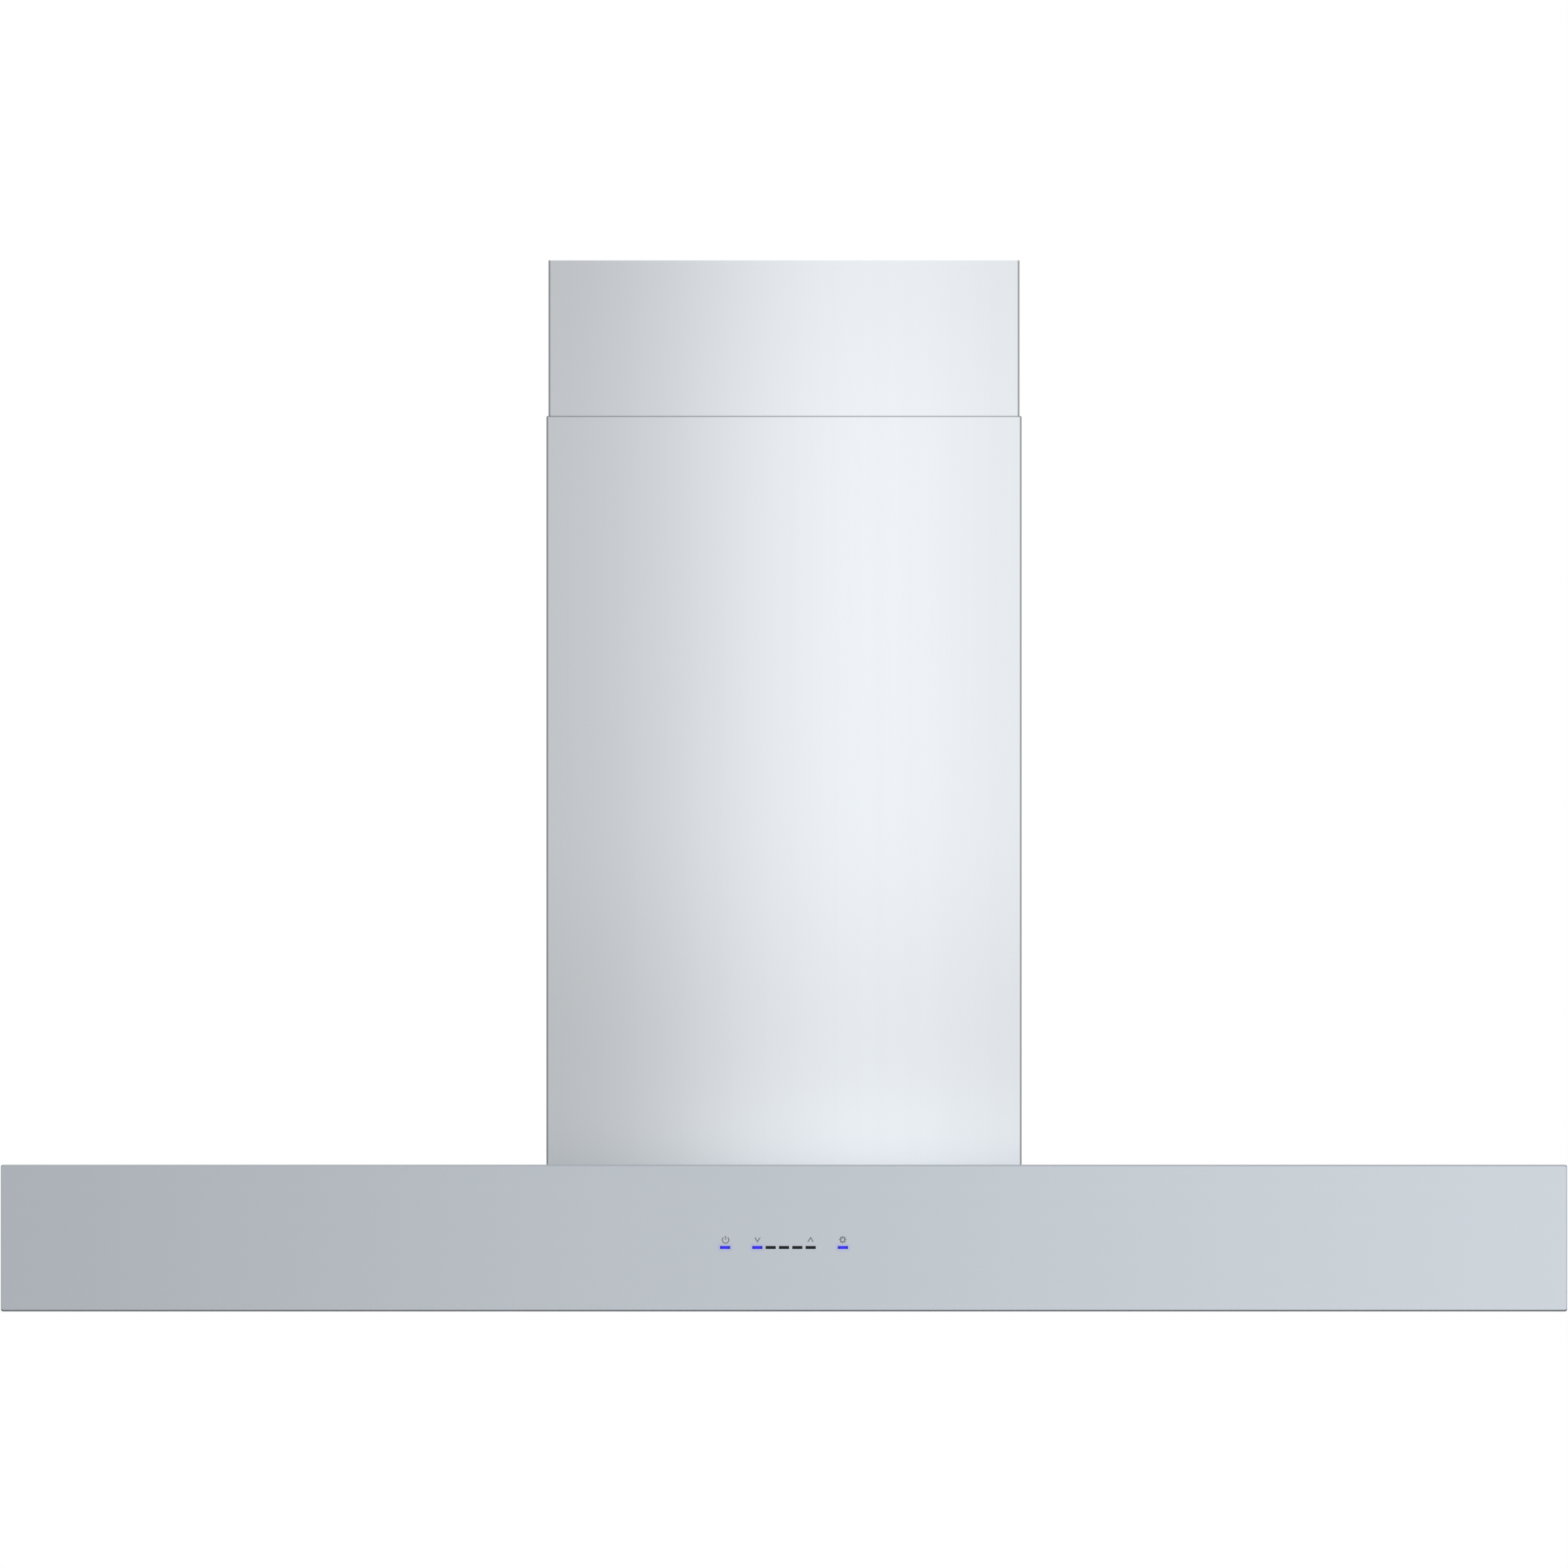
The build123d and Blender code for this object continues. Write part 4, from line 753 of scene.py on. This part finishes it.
def finish_recipes():
    """How each of the hood's materials is made, by its name."""
    finish = bpy.context.scene.hood_finish
    controls = bpy.context.scene.hood_controls
    lamps = bpy.context.scene.hood_lamps
    across = 1.0 / finish.grain_width
    along = 1.0 / finish.grain_length
    upright_grain = (across, across, along)
    long_grain = (along, across, across)
    deep_grain = (across, along, across)
    return {
        "Cover steel": partial(
            brushed_steel,
            colour=finish.cover_colour,
            stretch=upright_grain,
            roughness=0.30,
            # Depths of painted shade along the covers' bends
            lines={"Upright": 0.48, "Top": 0.62, "Under": 0.3},
            contrast=0.012,
            band_depth=0.004,
        ),
        "Canopy steel": partial(
            brushed_steel,
            colour=finish.canopy_colour,
            stretch=long_grain,
            roughness=0.32,
            # Depths of painted shade along the canopy's bends, deepest on its undersides
            lines={"Top": 0.30, "Under": 0.75},
            contrast=0.011,
            band_depth=0.003,
            # Painted light of the lit windows on the canopy's steel
            painted_spill=PAINTED_SPILL_COLOUR,
        ),
        "Panel steel": partial(
            brushed_steel,
            colour=finish.panel_colour,
            stretch=long_grain,
            roughness=0.34,
            lines=SOFT_BEND_SHADE,
        ),
        "Filter steel": partial(
            brushed_steel,
            colour=finish.filter_colour,
            stretch=deep_grain,
            roughness=0.24,
            lines=SOFT_BEND_SHADE,
        ),
        "Ground steel": partial(
            brushed_steel,
            colour=(0.60, 0.60, 0.60),
            stretch=long_grain,
            roughness=0.18,
            lines=SOFT_BEND_SHADE,
        ),
        "Galvanised steel": partial(
            zinc_steel,
            colour=finish.zinc_colour,
            roughness=0.42,
            scale=90.0,
            contrast=0.14,
        ),
        "Zinc plate": partial(
            zinc_steel,
            colour=(0.66, 0.67, 0.68),
            roughness=0.30,
            scale=1400.0,
            contrast=0.05,
        ),
        "Motor enamel": partial(
            moulded,
            colour=(0.025, 0.026, 0.028),
            roughness=0.38,
            scale=380.0,
            depth=0.12,
            values={"Coat Weight": 0.25},
        ),
        "Black plastic": partial(
            moulded,
            colour=(0.022, 0.022, 0.024),
            roughness=0.48,
            scale=1600.0,
            depth=0.15,
        ),
        "Smoked window": partial(
            moulded,
            colour=(0.007, 0.010, 0.010),
            roughness=0.30,
            scale=900.0,
            depth=0.02,
            values={"Specular IOR Level": 0.2},
        ),
        "Cable jacket": partial(
            moulded,
            colour=(0.035, 0.035, 0.037),
            roughness=0.52,
            scale=1100.0,
            depth=0.12,
        ),
        "Grommet rubber": partial(
            moulded,
            colour=(0.018, 0.018, 0.018),
            roughness=0.72,
            scale=1300.0,
            depth=0.2,
        ),
        "Relay plastic": partial(
            moulded,
            colour=(0.02, 0.045, 0.11),
            roughness=0.36,
            scale=1400.0,
            depth=0.06,
        ),
        "Mark ink": partial(
            moulded,
            colour=controls.mark_colour,
            roughness=0.55,
            scale=2600.0,
            depth=0.05,
        ),
        "Lit window": partial(lit_window, colour=controls.glow_colour),
        "Frosted lens": partial(frosted_lens, colour=lamps.lens_colour, glow=lamps.lens_glow),
        "Circuit board": circuit_board,
    }


def new_finish(name):
    """One of the hood's materials by its name, made when it is first asked for."""
    if name in bpy.data.materials:
        return bpy.data.materials[name]
    return finish_recipes()[name](name)


def dress(nodes, name):
    """Gives CAD pieces one finish all over."""
    for node in nodes:
        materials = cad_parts[node].data.materials
        materials.clear()
        materials.append(new_finish(name))


def dress_part(node, name, belongs):
    """Gives a second finish to the faces of a CAD piece whose middle passes a test."""
    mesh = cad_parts[node].data
    mesh.materials.append(new_finish(name))
    for face in mesh.polygons:
        if belongs(face.center):
            face.material_index = len(mesh.materials) - 1


# Printed marks
def arc(radius, start, end, steps, middle=(0.0, 0.0)):
    """Points along an arc, by degrees clockwise from the top."""
    points = []
    for step in range(steps + 1):
        turn = math.radians(start + (end - start) * step / steps)
        points.append((middle[0] + radius * math.sin(turn), middle[1] + radius * math.cos(turn)))
    return points


def edge_offsets(points, closed):
    """Unit offsets across a line at each of its points, lengthened at its corners."""
    count = len(points)
    offsets = []
    for index, (x, z) in enumerate(points):
        before = points[index - 1] if closed or index else (x, z)
        after = points[(index + 1) % count] if closed or index < count - 1 else (x, z)
        into = Vector((x - before[0], z - before[1]))
        out = Vector((after[0] - x, after[1] - z))
        into = into.normalized() if into.length else out.normalized()
        out = out.normalized() if out.length else into
        middle = (into + out).normalized()
        stretch = 1.0 / max(middle.dot(into), MITRE_LIMIT)
        offsets.append(Vector((-middle.y, middle.x)) * stretch)
    return offsets


def stroke(mesh, points, width, proud, closed):
    """Adds one inked line of even width, as a closed thin solid on the steel's face."""
    sections = []
    for (x, z), across in zip(points, edge_offsets(points, closed)):
        left = (x + across.x * width / 2, z + across.y * width / 2)
        right = (x - across.x * width / 2, z - across.y * width / 2)
        sections.append([
            mesh.verts.new((left[0], -proud, left[1])),
            mesh.verts.new((right[0], -proud, right[1])),
            mesh.verts.new((right[0], 0.0, right[1])),
            mesh.verts.new((left[0], 0.0, left[1])),
        ])
    pairs = list(zip(sections, sections[1:]))
    if closed:
        pairs.append((sections[-1], sections[0]))
    else:
        mesh.faces.new(sections[0])
        mesh.faces.new(sections[-1][::-1])
    for first, second in pairs:
        for corner in range(len(first)):
            following = (corner + 1) % len(first)
            mesh.faces.new((first[corner], second[corner], second[following], first[following]))


def mark_strokes(name):
    """Lines of one mark in metres about its middle, each with a flag for a closed ring."""
    if name == "power":
        ring = arc(POWER_RADIUS, POWER_HALF_GAP, 360.0 - POWER_HALF_GAP, POWER_STEPS, (0.0, -POWER_DROP))
        stem = [(0.0, height) for height in POWER_STEM]
        return [(ring, False), (stem, False)]
    if name in ("slower", "faster"):
        way = 1.0 if name == "faster" else -1.0
        foot = -way * CHEVRON_FOOT
        tip = way * CHEVRON_TIP
        return [([(-CHEVRON_HALF_WIDTH, foot), (0.0, tip), (CHEVRON_HALF_WIDTH, foot)], False)]
    ring = arc(SUN_RADIUS, 0.0, 360.0 - 360.0 / SUN_STEPS, SUN_STEPS - 1)
    rays = []
    for step in range(SUN_RAYS):
        turn = math.radians(360.0 * step / SUN_RAYS)
        ray = [(reach * math.sin(turn), reach * math.cos(turn)) for reach in (RAY_START, RAY_END)]
        rays.append((ray, False))
    return [(ring, True), *rays]


def build_mark(name):
    """Makes one printed mark on the canopy's front."""
    controls = bpy.context.scene.hood_controls
    low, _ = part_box("canopy_shell")
    mesh = bmesh.new()
    for points, closed in mark_strokes(name):
        stroke(mesh, points, controls.mark_stroke, controls.mark_proud, closed)
    bmesh.ops.recalc_face_normals(mesh, faces=mesh.faces)
    piece = new_object(f"mark_{name}", mesh)
    piece.location = (MARK_PLACES[name], low.y, low.z + controls.mark_rise)
    piece.data.materials.append(new_finish("Mark ink"))
    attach(piece, "hood")


# Studio
def flat_sheet(name, size, middle, facing):
    """Adds a flat stage sheet that looks along a direction."""
    mesh = bmesh.new()
    half_width = size[0] / 2
    half_height = size[1] / 2
    corners = [
        (-half_width, -half_height, 0.0),
        (half_width, -half_height, 0.0),
        (half_width, half_height, 0.0),
        (-half_width, half_height, 0.0),
    ]
    mesh.faces.new([mesh.verts.new(corner) for corner in corners])
    sheet = new_object(name, mesh)
    sheet.location = middle
    sheet.rotation_mode = "QUATERNION"
    sheet.rotation_quaternion = Vector(facing).to_track_quat("Z", "Y")
    return sheet


def grey_ring(name, radius):
    """Adds an open upright stage ring that looks inwards."""
    mesh = bmesh.new()
    posts = []
    for index in range(RING_POSTS):
        turn = math.radians(360.0 * index / RING_POSTS)
        x = radius * math.cos(turn)
        y = radius * math.sin(turn)
        posts.append([mesh.verts.new((x, y, height)) for height in RING_HEIGHTS])
    for first, second in zip(posts, posts[1:] + posts[:1]):
        mesh.faces.new((second[0], first[0], first[1], second[1]))
    ring = new_object(name, mesh)
    return ring


def only_reflected(sheet):
    """Leaves a stage sheet to be seen in polished surfaces alone."""
    sheet.visible_camera = False
    sheet.visible_diffuse = False
    sheet.visible_transmission = False
    sheet.visible_volume_scatter = False
    sheet.visible_shadow = False


def seen_white(tree):
    """One for rays from the camera, or that mirror or pass through to it."""
    ray = place(tree, "ShaderNodeLightPath")
    polished = reckon(tree, "MAXIMUM", ray.outputs["Is Glossy Ray"], ray.outputs["Is Transmission Ray"])
    return reckon(tree, "MAXIMUM", ray.outputs["Is Camera Ray"], polished)


def stage_material(name):
    """A material with no nodes yet, for the floor or a card."""
    material = bpy.data.materials.new(name)
    material.use_nodes = True
    material.node_tree.nodes.clear()
    return material, material.node_tree


def card_material(name, light_of, edges):
    """Material of a studio card with its own light, which is let through where the card fades."""
    material, tree = stage_material(name)
    geometry = place(tree, "ShaderNodeNewGeometry")
    where = place(tree, "ShaderNodeSeparateXYZ", {0: geometry.outputs["Position"]}).outputs
    shown = [ease(tree, where[axis], (nothing, full)) for axis, nothing, full in edges]
    front = reckon(tree, "SUBTRACT", 1.0, geometry.outputs["Backfacing"])
    solid = product(tree, front, *shown)
    glow = place(tree, "ShaderNodeEmission", {"Color": WHITE, "Strength": light_of(tree, where)})
    clear = place(tree, "ShaderNodeBsdfTransparent")
    both = place(tree, "ShaderNodeMixShader", {0: solid, 1: clear.outputs[0], 2: glow.outputs[0]})
    place(tree, "ShaderNodeOutputMaterial", {"Surface": both.outputs[0]})
    return material


def cover_card_light(tree, where):
    """Light of the card before the covers: darker to the left, with a soft dip low down and a paler foot."""
    studio = bpy.context.scene.hood_studio
    dark = studio.cover_light * (1.0 - studio.cover_shade)
    left = ease(tree, where["X"], LEFT_SHADE, (studio.cover_light, dark))
    right = ease(tree, where["X"], RIGHT_SHADE, (1.0, RIGHT_LEVEL))
    top = ease(tree, where["Z"], TOP_SHADE, (1.0, TOP_LEVEL))
    dip = product(tree, ease(tree, where["Z"], DIP_FROM_ABOVE), ease(tree, where["Z"], DIP_FROM_BELOW))
    low = spread(tree, dip, 0.0, 1.0, 1.0, DIP_LEVEL)
    lift = product(
        tree,
        ease(tree, where["Z"], FOOT_FROM_ABOVE),
        ease(tree, where["Z"], FOOT_FROM_BELOW),
        ease(tree, where["X"], FOOT_ACROSS, (0.0, FOOT_LIFT)),
    )
    return product(tree, left, right, top, low, reckon(tree, "ADD", 1.0, lift))


def canopy_card_light(tree, where):
    """Light of the card before the canopy, which falls evenly to the left."""
    dark = 1.0 - bpy.context.scene.hood_studio.canopy_shade
    return spread(tree, where["X"], CANOPY_SHADE_REACH, -CANOPY_SHADE_REACH, 1.0, dark)


def ring_light(tree, where):
    """Light of the ring round the hood: white in front, grey at the sides and behind."""
    studio = bpy.context.scene.hood_studio
    front_reach = [share * studio.ring_radius for share in RING_FRONT]
    left_reach = [share * studio.ring_radius for share in RING_LEFT]
    front = ease(tree, where["Y"], front_reach, (studio.ring_level, 1.0))
    left = ease(tree, where["X"], left_reach, (1.0, RING_LEFT_LEVEL))
    return product(tree, front, left)


def pale_floor(radius, lift):
    """One-sided pale floor that keeps shadows and fades into the white surroundings."""
    material, tree = stage_material("Pale floor")
    diffuse = place(tree, "ShaderNodeBsdfDiffuse", {"Color": FLOOR_GREY})
    glow = reckon(tree, "MULTIPLY", seen_white(tree), lift)
    light = place(tree, "ShaderNodeEmission", {"Color": WHITE, "Strength": glow})
    lit = place(tree, "ShaderNodeAddShader", {0: diffuse.outputs[0], 1: light.outputs[0]})
    where = place(tree, "ShaderNodeTexCoord").outputs["Object"]
    away = place(tree, "ShaderNodeVectorMath", {0: where}, operation="LENGTH")
    rim = ease(tree, away.outputs["Value"], (FLOOR_FADE * radius, radius))
    geometry = place(tree, "ShaderNodeNewGeometry")
    hidden = reckon(tree, "MAXIMUM", geometry.outputs["Backfacing"], rim)
    clear = place(tree, "ShaderNodeBsdfTransparent")
    both = place(tree, "ShaderNodeMixShader", {0: hidden, 1: lit.outputs[0], 2: clear.outputs[0]})
    place(tree, "ShaderNodeOutputMaterial", {"Surface": both.outputs[0]})
    return material


def white_world(level):
    """White surroundings at full strength to the eye, lower as plain light."""
    world = bpy.data.worlds.new("White studio")
    bpy.context.scene.world = world
    world.use_nodes = True
    tree = world.node_tree
    tree.nodes.clear()
    strength = spread(tree, seen_white(tree), 0.0, 1.0, level, 1.0)
    sky = place(tree, "ShaderNodeBackground", {"Color": WHITE, "Strength": strength})
    place(tree, "ShaderNodeOutputWorld", {"Surface": sky.outputs[0]})


def add_softbox(name, stand, aim, power):
    """Adds one square softbox that looks at a point."""
    lamp = bpy.data.lights.new(name, "AREA")
    lamp.shape = "SQUARE"
    lamp.size = SOFTBOX_SIZE
    lamp.energy = power
    box = bpy.data.objects.new(name, lamp)
    bpy.context.scene.collection.objects.link(box)
    box.location = stand
    box.rotation_mode = "QUATERNION"
    box.rotation_quaternion = (aim - stand).to_track_quat("-Z", "Y")
    box.visible_glossy = False


class HOOD_OT_effects(bpy.types.Operator):
    """Builds the surface effects that the finishes share"""

    bl_idname = "hood.effects"
    bl_label = "Build surface effects"

    def execute(self, context):
        build_brushed_grain()
        build_painted_bend_shade()
        build_lit_reach()
        build_cloudy_polish()
        build_zinc_spangle()
        build_moulded_skin()
        return {"FINISHED"}


class HOOD_OT_covers(bpy.types.Operator):
    """Dresses the chimney covers and their screws"""

    bl_idname = "hood.covers"
    bl_label = "Dress chimney covers"

    def execute(self, context):
        dress(COVER_NODES, "Cover steel")
        dress(COVER_SCREW_NODES, "Zinc plate")
        return {"FINISHED"}


class HOOD_OT_canopy(bpy.types.Operator):
    """Dresses the box canopy"""

    bl_idname = "hood.canopy"
    bl_label = "Dress canopy"

    def execute(self, context):
        dress(["canopy_shell"], "Canopy steel")
        return {"FINISHED"}


class HOOD_OT_controls(bpy.types.Operator):
    """Lights the control windows and prints the marks above them"""

    bl_idname = "hood.controls"
    bl_label = "Make touch controls"

    def execute(self, context):
        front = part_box("canopy_shell")[0].y + LIT_REACH
        dress(["light_guide"], "Smoked window")
        dress_part(
            "light_guide",
            "Lit window",
            lambda middle: middle.y < front and min(abs(middle.x - x) for x in LIT_PLACES) < LIT_REACH,
        )
        dress(["touch_carrier"], "Black plastic")
        dress(["touch_board"], "Circuit board")
        for name in MARK_PLACES:
            build_mark(name)
        return {"FINISHED"}


class HOOD_OT_underside(bpy.types.Operator):
    """Dresses the underside panel, its screws and its lamps"""

    bl_idname = "hood.underside"
    bl_label = "Dress underside"

    def execute(self, context):
        dress(["bottom_panel", "lamp_housings"], "Panel steel")
        dress(["bottom_panel_screws"], "Zinc plate")
        dress(["lamp_lenses"], "Frosted lens")
        return {"FINISHED"}


class HOOD_OT_filters(bpy.types.Operator):
    """Dresses the three baffle filters and their latches"""

    bl_idname = "hood.filters"
    bl_label = "Dress filters"

    def execute(self, context):
        dress(FILTER_FRAME_NODES, "Filter steel")
        dress(BAFFLE_NODES, "Filter steel")
        dress(LATCH_NODES, "Filter steel")
        return {"FINISHED"}


class HOOD_OT_hanging_frame(bpy.types.Operator):
    """Dresses the ceiling plate, the telescopic posts and their bolts"""

    bl_idname = "hood.hanging_frame"
    bl_label = "Dress hanging frame"

    def execute(self, context):
        dress(FRAME_NODES, "Galvanised steel")
        dress(FRAME_BOLT_NODES, "Zinc plate")
        return {"FINISHED"}


class HOOD_OT_blower(bpy.types.Operator):
    """Dresses the blower's housing, wheel and motor"""

    bl_idname = "hood.blower"
    bl_label = "Dress blower"

    def execute(self, context):
        dress(HOUSING_NODES, "Galvanised steel")
        dress(["blower_wheel"], "Galvanised steel")
        dress(["blower_box_screws"], "Zinc plate")
        dress(["motor_housing"], "Motor enamel")
        dress(["motor_bearings", "motor_shaft"], "Ground steel")
        dress(["motor_grommets"], "Grommet rubber")
        return {"FINISHED"}


class HOOD_OT_outlet(bpy.types.Operator):
    """Dresses the outlet adapter and its damper"""

    bl_idname = "hood.outlet"
    bl_label = "Dress outlet"

    def execute(self, context):
        dress(OUTLET_NODES, "Galvanised steel")
        dress(["damper_pin"], "Ground steel")
        return {"FINISHED"}


class HOOD_OT_electrics(bpy.types.Operator):
    """Dresses the boxes, the boards and the wiring"""

    bl_idname = "hood.electrics"
    bl_label = "Dress electrics"

    def execute(self, context):
        dress(ELECTRIC_BOX_NODES, "Galvanised steel")
        dress(["power_board"], "Circuit board")
        board_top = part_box("power_board")[0].z + PARTS_START
        dress_part("power_board", "Relay plastic", lambda middle: middle.z > board_top)
        dress(["supply_cable", "control_cable"], "Cable jacket")
        dress(["cable_clips"], "Black plastic")
        return {"FINISHED"}


class HOOD_OT_studio(bpy.types.Operator):
    """Sets the camera, the floor, the surroundings and the softboxes"""

    bl_idname = "hood.studio"
    bl_label = "Set studio"

    def execute(self, context):
        studio = context.scene.hood_studio
        low, high = cad_box
        middle = (low + high) / 2
        camera = bpy.data.cameras.new("Camera")
        camera.lens = studio.lens
        distance = studio.picture_width * studio.lens / camera.sensor_width
        camera.clip_end = 2 * distance
        eye = bpy.data.objects.new("Camera", camera)
        context.scene.collection.objects.link(eye)
        eye.location = (0.0, low.y - distance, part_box("canopy_shell")[1].z)
        aim = Vector((0.0, low.y, middle.z)) - eye.location
        eye.rotation_mode = "QUATERNION"
        eye.rotation_quaternion = aim.to_track_quat("-Z", "Y")
        context.scene.camera = eye
        context.scene.view_settings.view_transform = "Standard"
        white_world(studio.sky_level)

        floor_at = (0.0, 0.0, low.z - studio.floor_drop)
        side = 2 * studio.floor_radius
        floor = flat_sheet("floor", (side, side), floor_at, UPWARDS)
        floor.data.materials.append(pale_floor(studio.floor_radius, studio.floor_lift))

        cover_card = flat_sheet("cover_card", COVER_CARD_SIZE, COVER_CARD_MIDDLE, TOWARDS_HOOD)
        canopy_card = flat_sheet("canopy_card", CANOPY_CARD_SIZE, CANOPY_CARD_MIDDLE, TOWARDS_HOOD)
        ring = grey_ring("grey_ring", studio.ring_radius)
        cards = (
            (cover_card, cover_card_light, COVER_CARD_EDGES),
            (canopy_card, canopy_card_light, CANOPY_CARD_EDGES),
            (ring, ring_light, RING_EDGES),
        )
        for card, light_of, edges in cards:
            card.data.materials.append(card_material(card.name, light_of, edges))
            only_reflected(card)

        for index in range(studio.lamp_count):
            turn = math.radians(SOFTBOX_TURN + 360.0 * index / studio.lamp_count)
            across = SOFTBOX_REACH * math.cos(turn)
            along = SOFTBOX_REACH * math.sin(turn)
            stand = Vector((across, along, middle.z + SOFTBOX_RISE))
            add_softbox(f"softbox_{index}", stand, middle, studio.lamp_power)
        return {"FINISHED"}


class HOOD_PT_sidebar(bpy.types.Panel):
    """Lists the hood's steps and settings"""

    bl_idname = "HOOD_PT_sidebar"
    bl_label = "Island range hood"
    bl_space_type = "VIEW_3D"
    bl_region_type = "UI"
    bl_category = "Hood"

    def draw(self, context):
        for operator in OPERATORS:
            self.layout.operator(operator.bl_idname)
        for name in SETTINGS:
            settings = getattr(context.scene, name)
            box = self.layout.box()
            for key in settings.__annotations__:
                box.prop(settings, key)


SETTINGS = {
    "hood_finish": HoodFinish,
    "hood_controls": HoodControls,
    "hood_lamps": HoodLamps,
    "hood_studio": HoodStudio,
}
OPERATORS = (
    HOOD_OT_effects,
    HOOD_OT_covers,
    HOOD_OT_canopy,
    HOOD_OT_controls,
    HOOD_OT_underside,
    HOOD_OT_filters,
    HOOD_OT_hanging_frame,
    HOOD_OT_blower,
    HOOD_OT_outlet,
    HOOD_OT_electrics,
    HOOD_OT_studio,
)
CLASSES = (*SETTINGS.values(), *OPERATORS, HOOD_PT_sidebar)


def register():
    """Adds the settings, the operators and the panel to Blender."""
    for item in CLASSES:
        bpy.utils.register_class(item)
    for name, group in SETTINGS.items():
        setattr(bpy.types.Scene, name, PointerProperty(type=group))


def unregister():
    """Takes the settings, the operators and the panel out of Blender."""
    for name in SETTINGS:
        delattr(bpy.types.Scene, name)
    for item in reversed(CLASSES):
        bpy.utils.unregister_class(item)


def main():
    """Builds the dressed hood in its studio."""
    register()
    bpy.ops.hood.effects()
    bpy.ops.hood.covers()
    bpy.ops.hood.canopy()
    bpy.ops.hood.controls()
    bpy.ops.hood.underside()
    bpy.ops.hood.filters()
    bpy.ops.hood.hanging_frame()
    bpy.ops.hood.blower()
    bpy.ops.hood.outlet()
    bpy.ops.hood.electrics()
    bpy.ops.hood.studio()


if __name__ == "__main__":
    main()
